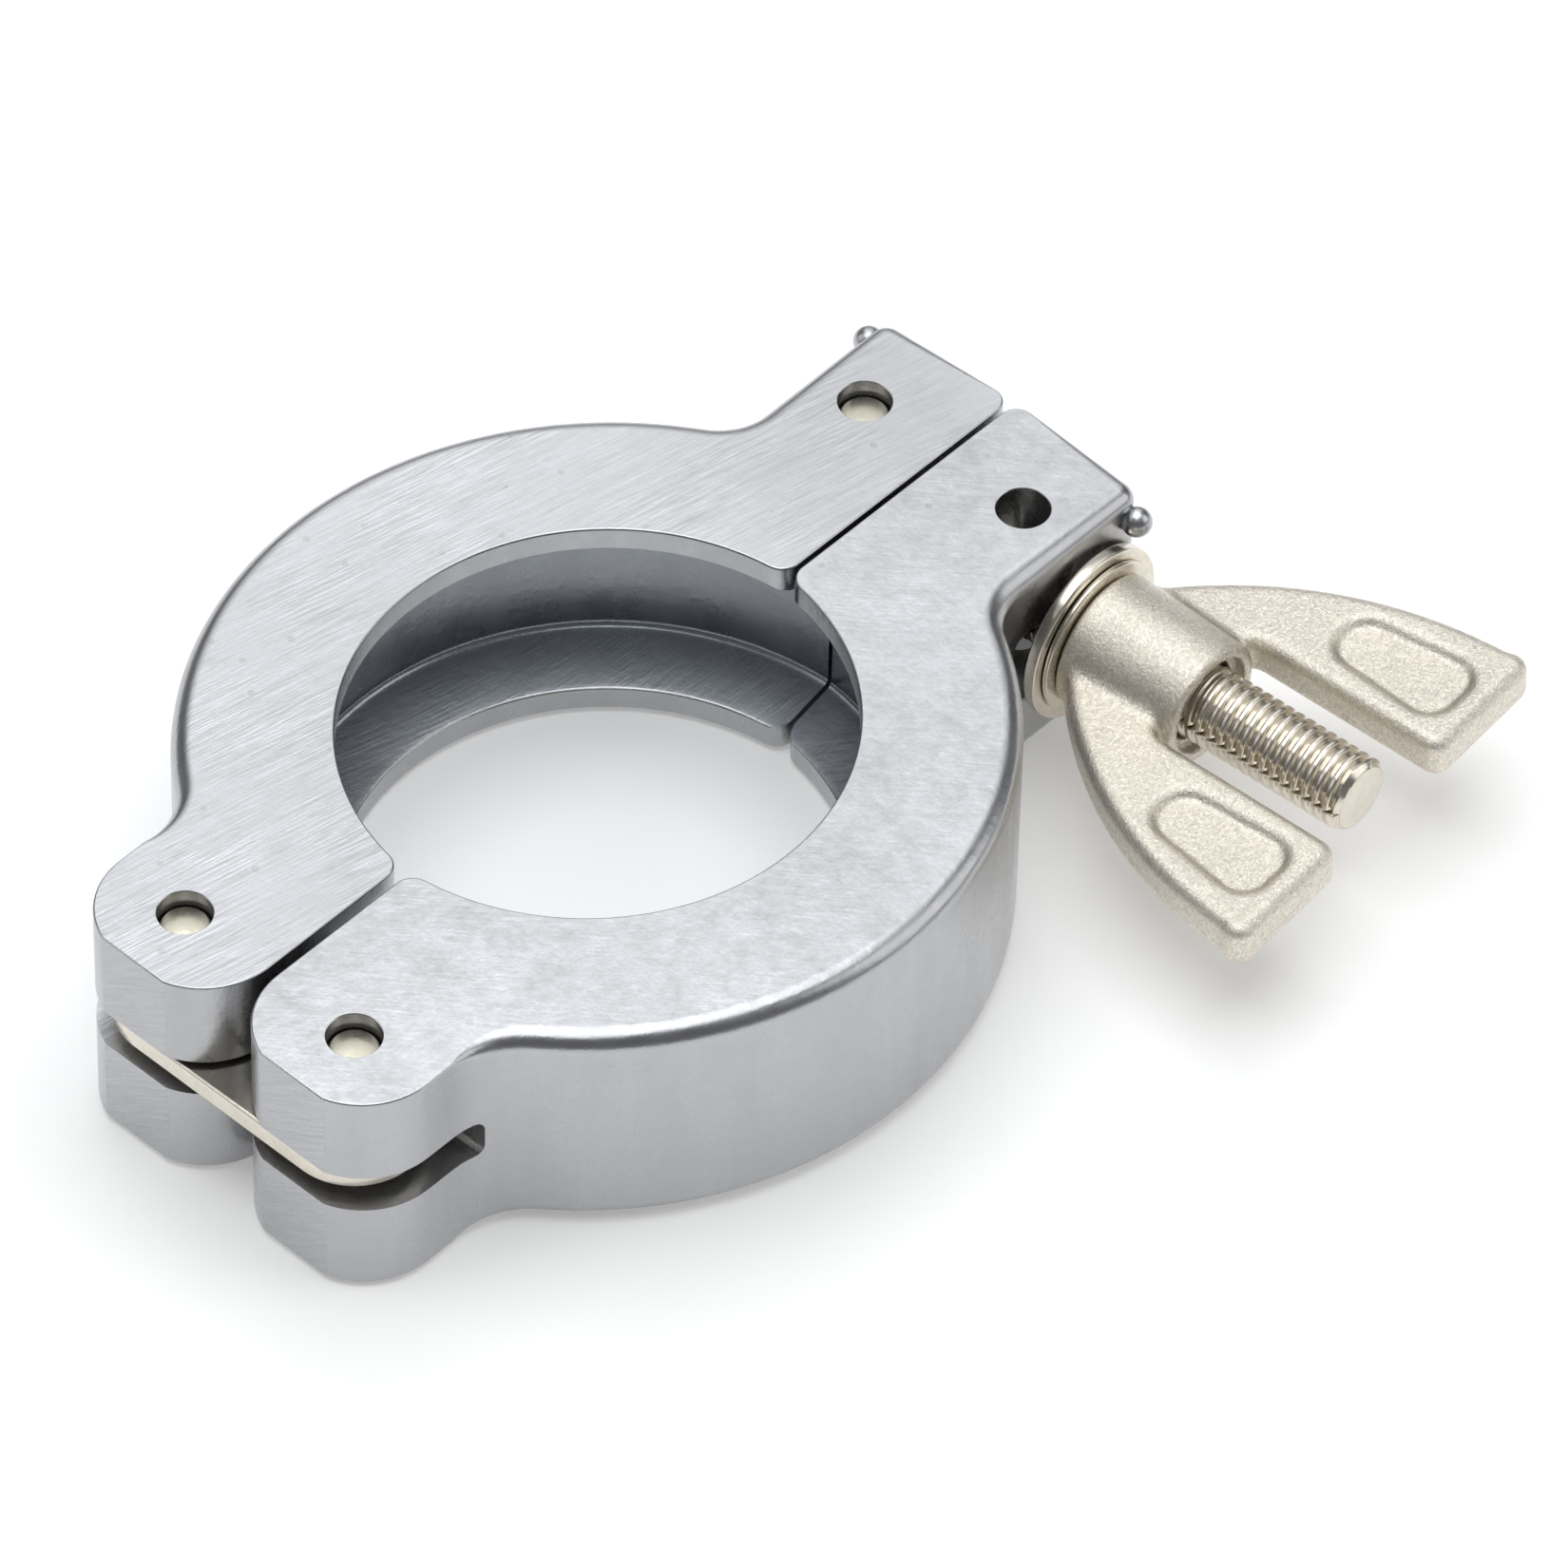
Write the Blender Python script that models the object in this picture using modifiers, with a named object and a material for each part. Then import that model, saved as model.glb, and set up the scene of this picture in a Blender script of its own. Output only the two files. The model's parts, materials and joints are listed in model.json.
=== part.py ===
"""Hinged clamp for a DN 25 small vacuum flange.

Two mirror-image cast jaws turn on the two pins of a link plate at one end. At the other end an eye bolt
swings on a pin in jaw A, lies in the open slot of jaw B and draws the jaws together with a wing nut.
The jaws lie flat: Z is the axis of the bore, X runs along the parting line from the hinge to the bolt.
"""

import math

import bmesh
import bpy
from mathutils import Matrix, Vector

MM = 0.001
NAME = "hinged_flange_clamp"

# Jaw casting
THICKNESS = 15.6 * MM
BORE_RADIUS = 16.2 * MM
BORE_OFFSET = 1.1 * MM  # each jaw's bore is struck from this far past the parting line
GROOVE_RADIUS = 20.4 * MM  # clears the 40 mm rim of the flange
OUTER_RADIUS = GROOVE_RADIUS + 5.6 * MM
OUTER_OFFSET = 1.4 * MM
GROOVE_BOTTOM = 9.9 * MM  # two 3 mm rims and the 3.9 mm centring ring
FLANK_ANGLE = math.radians(15)
BORE_CORNER = 1.3 * MM
OUTER_FILLET = 1.3 * MM

# Hinge end
HINGE_X = OUTER_RADIUS + 1.4 * MM  # from the bore's axis back to the pins
HINGE_Y = 6.8 * MM  # from the parting line out to each pin
LUG_END = 4.7 * MM  # past the pin, to the ground flat
LUG_SIDE = 5.6 * MM  # from the pin out to the lug's outer wall
LUG_CORNER = 5.2 * MM
LUG_CREASE = 18  # degrees that each corner stops short of running smoothly into the ground flat
LUG_BLEND = 6.0 * MM
HINGE_GAP = 0.35 * MM  # from the parting line to each jaw
LINK_SLOT = 2.8 * MM
LINK_SLOT_REACH = 4.5 * MM  # from the pin in towards the bore
LINK_THICKNESS = 1.5 * MM
LINK_WIDTH = 8.8 * MM
LINK_LIFT = 0.3 * MM

# Bolt end
BOLT_X = OUTER_RADIUS + 4.0 * MM
BOLT_Y = 6.4 * MM
TONGUE_END = 6.2 * MM  # past the bolt's pin
TONGUE_SIDE = 4.0 * MM  # from the pin out to the tongue's outer wall
TONGUE_CORNER = 1.2 * MM
TONGUE_BLEND = 3.8 * MM
BOLT_GAP = 0.15 * MM  # from the parting line to each jaw
SLOT_CLEARANCE = 0.35 * MM
NUB_RADIUS = 0.95 * MM
NUB_HEIGHT = 5.9 * MM  # above and below the middle of the jaw

# Pins
PIN_RADIUS = 1.55 * MM
PRESS_GAP = 0.1 * MM
RUNNING_GAP = 0.15 * MM
PIN_RECESS = 1.0 * MM

# Swing bolt, M5
BOLT_RADIUS = 2.38 * MM
BOLT_LENGTH = 38.3 * MM  # from the pin to the end
BOLT_CHAMFER = 0.5 * MM
EYE_RADIUS = 4.6 * MM
EYE_THICKNESS = 2 * BOLT_RADIUS + 0.14 * MM
BOLT_LEAN = math.radians(3)  # the loose bolt lies a little outwards in its slot

# Washers
SEAT_GAP = 0.1 * MM
THRUST_RADIUS = 5.8 * MM
THRUST_THICKNESS = 0.85 * MM
THRUST_EDGE = 0.35 * MM  # how far its rim is rounded over
THIN_RADIUS = 5.1 * MM
THIN_THICKNESS = 0.35 * MM
THIN_EDGE = 0.15 * MM
WASHER_BORE_GAP = 0.35 * MM
STACK_GAP = 0.06 * MM

# Wing nut
HUB_BASE_RADIUS = 4.45 * MM
HUB_END_RADIUS = 4.05 * MM
HUB_LENGTH = 8.5 * MM
HUB_EDGE = 0.4 * MM
NUT_BORE_GAP = 0.3 * MM
MOUTH_RADIUS = BOLT_RADIUS + 0.82 * MM
MOUTH_DEPTH = 0.7 * MM
WING_SPAN = 27.8 * MM
WING_LENGTH = 22.0 * MM  # from the nut's base to the wing tips
WING_THICKNESS = 3.2 * MM
WING_ROOT = 0.6 * MM  # how far inside the hub a wing's outer edge starts
WING_RISE = 0.3 * MM  # how far past the nut's base it starts
WING_INNER = 4.7 * MM  # from the axis to a wing's inner edge
WING_BULGE = 2.8 * MM  # how far the outer edge bows out from its chord
WING_EDGE = 0.8 * MM
WING_CORNER = 1.0 * MM
WING_NOTCH = 1.3 * MM
WING_NOTCH_DEPTH = 1.15 * MM  # how far the notch at the hub's end cuts in
WING_TILT = math.radians(3)
POCKET_DEPTH = 0.4 * MM
POCKET_RIM = 1.7 * MM
POCKET_START = 11.6 * MM  # from the nut's base to the narrow end of the pocket
POCKET_CORNER = 1.2 * MM
POCKET_INSET = 0.9 * MM  # wider rim on the outer side, where the wing's edge bows in to the tip
POCKET_END = 0.5 * MM  # how much wider the narrow end is than its two corners

ARC_STEP = 6.0  # degrees
SHORTEST_STEP = 0.5 * MM
ROUND_STEPS = 32
MERGE = 0.00001

CAST = ("cast_aluminium", (0.62, 0.63, 0.66), 0.38)
PLATED = ("nickel_plate", (0.72, 0.68, 0.6), 0.22)
BLASTED = ("blasted_nickel", (0.7, 0.66, 0.57), 0.38)


def clear_scene():
    """Remove everything that the new file brought with it."""
    for thing in list(bpy.data.objects):
        bpy.data.objects.remove(thing, do_unlink=True)


def new_collection(name):
    group = bpy.data.collections.new(name)
    bpy.context.scene.collection.children.link(group)
    return group


def metal(node, finish):
    """A metal of its own for one node."""
    name, colour, roughness = finish
    material = bpy.data.materials.new(f"{node}_{name}")
    material.use_nodes = True
    shader = material.node_tree.nodes["Principled BSDF"]
    shader.inputs["Base Color"].default_value = (*colour, 1.0)
    shader.inputs["Metallic"].default_value = 1.0
    shader.inputs["Roughness"].default_value = roughness
    return material


def empty(name, parent, place=(0, 0, 0), turn=0.0):
    """A guide on a joint's axis, which its moving pieces hang from."""
    guide = bpy.data.objects.new(name, None)
    guide.location = place
    guide.rotation_euler = (0, 0, turn)
    guide.parent = parent
    guide.hide_render = True
    PARTS.objects.link(guide)
    return guide


def new_object(name, mesh, group, parent, place=(0, 0, 0), rotation=(0, 0, 0)):
    thing = bpy.data.objects.new(name, mesh)
    thing.location = place
    thing.rotation_euler = rotation
    thing.parent = parent
    group.objects.link(thing)
    if group is CUTTERS:
        thing.hide_render = True
        thing.display_type = "WIRE"
    return thing


def finish(thing, look):
    """Give a node its metal and its shading."""
    thing.data.materials.clear()
    thing.data.materials.append(metal(thing.name, look))
    thing.data.shade_smooth()
    thing.data.set_sharp_from_angle(angle=math.radians(35))


def cut(thing, cutter, operation="DIFFERENCE"):
    modifier = thing.modifiers.new(cutter.name, "BOOLEAN")
    modifier.object = cutter
    modifier.operation = operation


def arc(centre, radius, start, end):
    """Points of a circle from one angle to another, in degrees, both ends included. A small arc gets fewer,
    longer steps."""
    length = radius * math.radians(abs(end - start))
    count = max(3, min(math.ceil(abs(end - start) / ARC_STEP), math.ceil(length / SHORTEST_STEP)))
    points = []
    for i in range(count + 1):
        angle = math.radians(start + (end - start) * i / count)
        points.append((centre[0] + radius * math.cos(angle), centre[1] + radius * math.sin(angle)))
    return points


def blend_centre(offset, radius, line, blend):
    """Where a blend circle stands, on +X, that lies on the line y = line and touches, from outside, a circle
    of the given radius that is centred at (0, -offset)."""
    y = line + blend
    return math.sqrt((radius + blend) ** 2 - (y + offset) ** 2), y


def facing(centre, offset):
    """The angle, in degrees, at which a blend circle looks at the centre (0, -offset)."""
    return math.degrees(math.atan2(-offset - centre[1], -centre[0])) % 360


def jaw_outline():
    """The upper jaw seen from above, anticlockwise. Returns the points and how many of them, from the first,
    belong to the rounded outer edge, which ends where the lug begins."""
    tongue_end = BOLT_X + TONGUE_END
    tongue_side = BOLT_Y + TONGUE_SIDE
    lug_end = -(HINGE_X + LUG_END)
    lug_side = HINGE_Y + LUG_SIDE
    notch = blend_centre(OUTER_OFFSET, OUTER_RADIUS, tongue_side, TONGUE_BLEND)
    neck = blend_centre(OUTER_OFFSET, OUTER_RADIUS, lug_side, LUG_BLEND)
    neck = (-neck[0], neck[1])
    bolt_corner = blend_centre(BORE_OFFSET, BORE_RADIUS, BOLT_GAP, BORE_CORNER)
    hinge_corner = blend_centre(BORE_OFFSET, BORE_RADIUS, HINGE_GAP, BORE_CORNER)
    hinge_corner = (-hinge_corner[0], hinge_corner[1])

    outer = arc((tongue_end - TONGUE_CORNER, tongue_side - TONGUE_CORNER), TONGUE_CORNER, 0, 90)
    outer += arc(notch, TONGUE_BLEND, 270, facing(notch, OUTER_OFFSET))
    outer += arc((0, -OUTER_OFFSET), OUTER_RADIUS, facing(notch, OUTER_OFFSET) - 180,
                 facing(neck, OUTER_OFFSET) - 180)
    lug_x = lug_end + LUG_CORNER * math.cos(math.radians(LUG_CREASE))
    inner = arc(neck, LUG_BLEND, facing(neck, OUTER_OFFSET), 270)
    inner += arc((lug_x, lug_side - LUG_CORNER), LUG_CORNER, 90, 180 - LUG_CREASE)
    inner += arc((lug_x, HINGE_GAP + LUG_CORNER), LUG_CORNER, 180 + LUG_CREASE, 270)
    inner += arc(hinge_corner, BORE_CORNER, -90, facing(hinge_corner, BORE_OFFSET) - 360)
    inner += arc((0, -BORE_OFFSET), BORE_RADIUS, facing(hinge_corner, BORE_OFFSET) - 180,
                 facing(bolt_corner, BORE_OFFSET) - 180)
    inner += arc(bolt_corner, BORE_CORNER, facing(bolt_corner, BORE_OFFSET), 270)
    inner += arc((tongue_end - TONGUE_CORNER, BOLT_GAP + TONGUE_CORNER), TONGUE_CORNER, 270, 360)
    return distinct(outer + inner), len(distinct(outer))


def distinct(points):
    """The points without those that repeat the one before."""
    kept = []
    for point in points:
        if not kept or math.dist(point, kept[-1]) > MERGE:
            kept.append(point)
    return kept


def plate(name, points, thickness, group, parent, place=(0, 0, 0)):
    """A flat outline, as thick as given about its own middle, made a mesh with its caps welded on."""
    curve = bpy.data.curves.new(name, "CURVE")
    curve.dimensions = "2D"
    curve.fill_mode = "BOTH"
    curve.extrude = thickness / 2
    spline = curve.splines.new("POLY")
    spline.points.add(len(points) - 1)
    for spot, (x, y) in zip(spline.points, points):
        spot.co = (x, y, 0, 1)
    spline.use_cyclic_u = True
    flat = bpy.data.objects.new(name + "_outline", curve)
    bpy.context.scene.collection.objects.link(flat)
    bpy.context.view_layer.update()
    evaluated = flat.evaluated_get(bpy.context.evaluated_depsgraph_get())
    mesh = bpy.data.meshes.new_from_object(evaluated)
    mesh.name = name
    bpy.data.objects.remove(flat, do_unlink=True)
    bm = bmesh.new()
    bm.from_mesh(mesh)
    bmesh.ops.remove_doubles(bm, verts=bm.verts, dist=MERGE)
    bmesh.ops.dissolve_limit(bm, angle_limit=math.radians(0.5), verts=bm.verts, edges=bm.edges)
    bmesh.ops.recalc_face_normals(bm, faces=bm.faces)
    bm.to_mesh(mesh)
    bm.free()
    return new_object(name, mesh, group, parent, place)


def round_rim(thing, points, width, segments):
    """Round the top and bottom edges that run along the given stretch of the outline."""
    wanted = [Vector((x, y)) for x, y in points]

    def on_stretch(vert):
        return any((vert.co.xy - spot).length < MERGE for spot in wanted)

    bm = bmesh.new()
    bm.from_mesh(thing.data)
    rim = [edge for edge in bm.edges
           if abs(edge.verts[0].co.z - edge.verts[1].co.z) < MERGE
           and all(on_stretch(vert) for vert in edge.verts)]
    bmesh.ops.bevel(bm, geom=rim, offset=width, segments=segments, profile=0.5, affect="EDGES")
    bm.to_mesh(thing.data)
    bm.free()


def rod(name, radius, length, group, parent, place=(0, 0, 0), rotation=(0, 0, 0), steps=ROUND_STEPS):
    """A plain cylinder about its own Z, centred on its place."""
    mesh = bpy.data.meshes.new(name)
    bm = bmesh.new()
    bmesh.ops.create_cone(bm, cap_ends=True, segments=steps, radius1=radius, radius2=radius, depth=length)
    bm.to_mesh(mesh)
    bm.free()
    return new_object(name, mesh, group, parent, place, rotation)


def block(name, low, high, parent):
    """A box cutter between two corners."""
    size = [b - a for a, b in zip(low, high)]
    middle = [(a + b) / 2 for a, b in zip(low, high)]
    mesh = bpy.data.meshes.new(name)
    bm = bmesh.new()
    bmesh.ops.create_cube(bm, size=1.0, matrix=Matrix.Diagonal((*size, 1.0)))
    bm.to_mesh(mesh)
    bm.free()
    return new_object(name, mesh, CUTTERS, parent, middle)


def turned(name, profile, group, parent, place=(0, 0, 0), rotation=(0, 0, 0), steps=ROUND_STEPS,
           closed=False):
    """A turned piece about its own Z: a profile of (radius, height) points, top to bottom outside."""
    mesh = bpy.data.meshes.new(name)
    edges = [(i, i + 1) for i in range(len(profile) - 1)]
    if closed:
        edges.append((len(profile) - 1, 0))
    mesh.from_pydata([(radius, 0, height) for radius, height in profile], edges, [])
    thing = new_object(name, mesh, group, parent, place, rotation)
    screw = thing.modifiers.new("turn", "SCREW")
    screw.steps = steps
    screw.render_steps = steps
    screw.use_merge_vertices = True
    screw.merge_threshold = MERGE
    return thing


def groove_cutter(name, side):
    """The V groove that holds the flange rims, with 15 degree flanks that draw the rims together."""
    inside = BORE_RADIUS - 1.0 * MM
    bottom = GROOVE_BOTTOM / 2
    mouth = bottom + (GROOVE_RADIUS - inside) * math.tan(FLANK_ANGLE)
    profile = [(GROOVE_RADIUS, bottom), (GROOVE_RADIUS, -bottom), (inside, -mouth), (inside, mouth)]
    return turned(name, profile, CUTTERS, BORE, (0, -side * BORE_OFFSET, 0), steps=72, closed=True)


def make_jaw(name, side):
    """One casting: side is +1 for jaw A, which carries the bolt's pin, and -1 for its mirror image, jaw B."""
    points, outer_count = jaw_outline()
    points = [(x, side * y) for x, y in points]
    jaw = plate(name, points, THICKNESS, PARTS, BORE)
    round_rim(jaw, points[:outer_count], OUTER_FILLET, 3)

    cut(jaw, groove_cutter(name + "_groove", side))
    for end, x, y in (("hinge", -HINGE_X, HINGE_Y), ("bolt", BOLT_X, BOLT_Y)):
        place = (x, side * y, 0)
        cut(jaw, rod(f"{name}_{end}_hole", PIN_RADIUS + PRESS_GAP, 2 * THICKNESS, CUTTERS, BORE, place))

    beyond = 2 * OUTER_RADIUS
    link_half = LINK_SLOT / 2
    cut(jaw, block(name + "_link_slot", (-beyond, -beyond, -link_half),
                   (-HINGE_X + LINK_SLOT_REACH, beyond, link_half), BORE))
    bolt_half = EYE_THICKNESS / 2 + SLOT_CLEARANCE
    cut(jaw, block(name + "_bolt_slot", (BOLT_X - EYE_RADIUS - SLOT_CLEARANCE, -beyond, -bolt_half),
                   (beyond, beyond, bolt_half), BORE))

    for level in (1, -1):
        mesh = bpy.data.meshes.new(f"{name}_nub")
        bm = bmesh.new()
        bmesh.ops.create_uvsphere(bm, u_segments=12, v_segments=8, radius=NUB_RADIUS)
        bm.to_mesh(mesh)
        bm.free()
        corner = (BOLT_X + TONGUE_END - NUB_RADIUS, side * (BOLT_Y + TONGUE_SIDE + NUB_RADIUS / 2),
                  level * NUB_HEIGHT)
        cut(jaw, new_object(f"{name}_nub_{'upper' if level > 0 else 'lower'}", mesh, CUTTERS, BORE, corner),
            "UNION")
    finish(jaw, CAST)


def make_link():
    """The plate that holds the two hinge pins at their distance."""
    end = LINK_WIDTH / 2
    outline = arc((0, 0), end, 0, 180) + arc((0, -2 * HINGE_Y), end, 180, 360)
    link = plate("hinge_link", distinct(outline), LINK_THICKNESS, PARTS, LINK_AXIS, (0, 0, LINK_LIFT))
    for name, y in (("link_hole_a", 0), ("link_hole_b", -2 * HINGE_Y)):
        cut(link, rod(name, PIN_RADIUS + RUNNING_GAP, THICKNESS, CUTTERS, LINK_AXIS, (0, y, 0)))
    finish(link, PLATED)


def make_pin(name, x, y):
    """A plain pin, pressed in just under the jaw's faces."""
    pin = rod(name, PIN_RADIUS, THICKNESS - 2 * PIN_RECESS, PARTS, BORE, (x, y, 0))
    finish(pin, PLATED)


def make_bolt():
    """The eye bolt, which points down its guide's -Y."""
    bolt = rod("swing_bolt", EYE_RADIUS, EYE_THICKNESS, PARTS, BOLT_AXIS)
    chamfer = BOLT_CHAMFER
    profile = [(0, 0), (BOLT_RADIUS, 0), (BOLT_RADIUS, chamfer - BOLT_LENGTH),
               (BOLT_RADIUS - chamfer, -BOLT_LENGTH), (0, -BOLT_LENGTH)]
    shank = turned("bolt_shank", profile, CUTTERS, BOLT_AXIS, rotation=(-math.pi / 2, 0, 0), steps=24)
    cut(bolt, shank, "UNION")
    cut(bolt, rod("bolt_eye_hole", PIN_RADIUS + RUNNING_GAP, THICKNESS, CUTTERS, BOLT_AXIS))
    finish(bolt, PLATED)


def washer(name, radius, thickness, start, round_edge):
    """A washer that begins this far down the bolt; its rim is rounded over by round_edge."""
    hole = BOLT_RADIUS + WASHER_BORE_GAP
    half = thickness / 2
    middle = radius - round_edge
    rim = arc((middle, half - round_edge), round_edge, 90, 0)
    rim += arc((middle, round_edge - half), round_edge, 0, -90)
    profile = [(hole, half)] + rim + [(hole, -half)]
    disc = turned(name, profile, PARTS, BOLT_AXIS, (0, -start - half, 0), (math.pi / 2, 0, 0), closed=True)
    finish(disc, PLATED)
    return start + thickness


def wings_outline():
    """Both wings in one outline, seen along Z. X runs out from the nut's axis, Y from the nut's base to the
    tips. Each outer edge is an arc that bows WING_BULGE out from its chord. Between the wings the outline
    crosses the hub, inside it."""
    root = (HUB_BASE_RADIUS - WING_ROOT, WING_RISE)
    tip = (WING_SPAN / 2, WING_LENGTH)
    chord = math.dist(root, tip)
    radius = chord * chord / (8 * WING_BULGE) + WING_BULGE / 2
    half_angle = math.degrees(math.asin(chord / 2 / radius))
    heading = math.degrees(math.atan2(tip[1] - root[1], tip[0] - root[0]))
    back = math.radians(heading + 90)
    reach = radius - WING_BULGE
    centre = ((root[0] + tip[0]) / 2 + reach * math.cos(back),
              (root[1] + tip[1]) / 2 + reach * math.sin(back))
    wing = arc(centre, radius, heading - 90 - half_angle, heading - 90 + half_angle)[:-1]
    corner = WING_CORNER
    lean = corner * math.cos(math.radians(heading + half_angle))
    wing += arc((tip[0] - corner - lean, tip[1] - corner), corner, 0, 90)
    wing += arc((WING_INNER + corner, tip[1] - corner), corner, 90, 180)
    floor = HUB_LENGTH - WING_NOTCH_DEPTH
    wing += arc((WING_INNER - WING_NOTCH, floor + WING_NOTCH), WING_NOTCH, 0, -90)
    return distinct(wing + [(-x, y) for x, y in reversed(wing)])


def pocket_outline(side):
    """The thumb recess of one wing: a rounded wedge, narrow towards the hub, inside the wing's rim."""
    corner = POCKET_CORNER
    inner = WING_INNER + POCKET_RIM + corner
    outer = WING_SPAN / 2 - POCKET_RIM - POCKET_INSET - corner
    far = WING_LENGTH - POCKET_RIM - corner
    near = POCKET_START + corner
    lean = math.degrees(math.atan2(outer - inner - corner, far - near))
    edge = arc((outer, far), corner, -lean, 90)
    edge += arc((inner, far), corner, 90, 180)
    edge += arc((inner + POCKET_END, near), corner, 180, 360 - lean)
    return [(side * x, y) for x, y in distinct(edge)]


def make_wing_nut(start):
    """The wing nut, cast in one piece: a tapered hub and two wings, turned a little on the bolt."""
    guide = empty("wing_nut_axis", BOLT_AXIS, (0, -start, 0))
    guide.rotation_euler = (0, WING_TILT, math.pi)
    edge = HUB_EDGE
    profile = [(0, HUB_LENGTH), (HUB_END_RADIUS - edge, HUB_LENGTH), (HUB_END_RADIUS, HUB_LENGTH - edge),
               (HUB_BASE_RADIUS, edge), (HUB_BASE_RADIUS - edge, 0), (0, 0)]
    nut = turned("wing_nut", profile, PARTS, guide, rotation=(-math.pi / 2, 0, 0))
    points = wings_outline()
    wings = plate("wings", points, WING_THICKNESS, CUTTERS, guide)
    round_rim(wings, points, WING_EDGE, 2)
    cut(nut, wings, "UNION")
    for label, side in (("left", -1), ("right", 1)):
        for level in (1, -1):
            name = f"pocket_{label}_{'upper' if level > 0 else 'lower'}"
            pocket = plate(name, pocket_outline(side), 2 * POCKET_DEPTH, CUTTERS, guide,
                           (0, 0, level * WING_THICKNESS / 2))
            cut(nut, pocket)
    hole = BOLT_RADIUS + NUT_BORE_GAP
    profile = [(0, 2 * HUB_LENGTH), (MOUTH_RADIUS, 2 * HUB_LENGTH), (MOUTH_RADIUS, HUB_LENGTH - MOUTH_DEPTH),
               (hole, HUB_LENGTH - MOUTH_DEPTH), (hole, -HUB_LENGTH), (0, -HUB_LENGTH)]
    bore = turned("nut_bore", profile, CUTTERS, guide, rotation=(-math.pi / 2, 0, 0), steps=24)
    cut(nut, bore)
    finish(nut, BLASTED)


def stand_on_ground():
    """Put the origin under the middle of the whole clamp, at the level of its lower face."""
    bpy.context.view_layer.update()
    graph = bpy.context.evaluated_depsgraph_get()
    corners = []
    for thing in PARTS.objects:
        if thing.type == "MESH":
            solid = thing.evaluated_get(graph)
            corners += [solid.matrix_world @ vert.co for vert in solid.data.vertices]
    low = [min(corner[i] for corner in corners) for i in range(3)]
    high = [max(corner[i] for corner in corners) for i in range(3)]
    BORE.location = (-(low[0] + high[0]) / 2, -(low[1] + high[1]) / 2, -low[2])


clear_scene()
PARTS = new_collection(NAME)
CUTTERS = new_collection("cutters")
BORE = empty("bore_axis", None)
LINK_AXIS = empty("link_axis", BORE, (-HINGE_X, HINGE_Y, 0))
BOLT_AXIS = empty("bolt_axis", BORE, (BOLT_X, BOLT_Y, 0), BOLT_LEAN)

make_jaw("jaw_a", 1)
make_jaw("jaw_b", -1)
make_link()
make_pin("hinge_pin_a", -HINGE_X, HINGE_Y)
make_pin("hinge_pin_b", -HINGE_X, -HINGE_Y)
make_pin("bolt_pin", BOLT_X, BOLT_Y)
make_bolt()
TONGUE_FACE = (BOLT_Y + TONGUE_SIDE + BOLT_Y) / math.cos(BOLT_LEAN)
SEAT = TONGUE_FACE + THRUST_RADIUS * math.sin(BOLT_LEAN) + SEAT_GAP
LEVEL = washer("thrust_washer", THRUST_RADIUS, THRUST_THICKNESS, SEAT, THRUST_EDGE)
LEVEL = washer("thin_washer", THIN_RADIUS, THIN_THICKNESS, LEVEL + STACK_GAP, THIN_EDGE)
make_wing_nut(LEVEL + STACK_GAP)
stand_on_ground()
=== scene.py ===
"""The finished look of a hinged flange clamp: two cast jaws, a link plate with its pins, and an eye bolt with
its washers and wing nut. Lengths are in metres, +Z is the axis of the bore and +X runs along the parting
line from the hinge to the bolt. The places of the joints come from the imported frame."""

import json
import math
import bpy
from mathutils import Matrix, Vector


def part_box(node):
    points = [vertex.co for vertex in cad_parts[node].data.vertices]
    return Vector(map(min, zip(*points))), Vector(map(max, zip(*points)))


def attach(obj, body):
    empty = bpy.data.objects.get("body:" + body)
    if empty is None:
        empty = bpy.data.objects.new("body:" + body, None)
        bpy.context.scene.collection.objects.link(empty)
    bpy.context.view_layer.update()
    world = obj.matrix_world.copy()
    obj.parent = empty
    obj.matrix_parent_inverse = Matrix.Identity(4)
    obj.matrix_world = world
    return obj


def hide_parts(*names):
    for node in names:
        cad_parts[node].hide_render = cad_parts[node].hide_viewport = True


bl_info = {
    "name": "Hinged Flange Clamp",
    "version": (1, 0, 0),
    "blender": (4, 5, 0),
    "location": "3D View > Sidebar > Clamp",
    "description": "Builds a hinged flange clamp on its packed frame, with its metals and a small studio",
    "category": "Object",
}

import bmesh
import bpy
import numpy as np
from bpy.props import FloatProperty, FloatVectorProperty, PointerProperty
from mathutils import Matrix

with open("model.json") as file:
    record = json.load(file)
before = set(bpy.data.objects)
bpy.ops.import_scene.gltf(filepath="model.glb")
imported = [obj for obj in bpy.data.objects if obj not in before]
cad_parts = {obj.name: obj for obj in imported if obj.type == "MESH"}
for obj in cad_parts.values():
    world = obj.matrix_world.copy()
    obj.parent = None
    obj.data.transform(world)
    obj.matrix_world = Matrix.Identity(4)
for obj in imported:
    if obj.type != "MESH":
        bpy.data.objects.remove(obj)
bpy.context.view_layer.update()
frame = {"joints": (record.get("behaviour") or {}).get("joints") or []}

MM = 0.001
JOINTS = {joint["name"]: joint for joint in frame["joints"]}
HINGE_A = np.array(JOINTS["link_swing"]["pos_m"])
HINGE_B = np.array(JOINTS["jaw_b_open"]["pos_m"])
BOLT_PIN = np.array(JOINTS["bolt_swing"]["pos_m"])
BOLT_LINE = np.array(JOINTS["nut_spin"]["axis"])
PARTING = (HINGE_A[1] + HINGE_B[1]) / 2
MIDDLE = HINGE_A[2]


def along_bolt(node):
    """How far down the bolt's line, from its pin, a node's box has its middle."""
    low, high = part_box(node)
    return float((np.array(low + high) / 2 - BOLT_PIN) @ BOLT_LINE)


# ---------------------------------------------------------------------------------------------- settings


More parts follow.
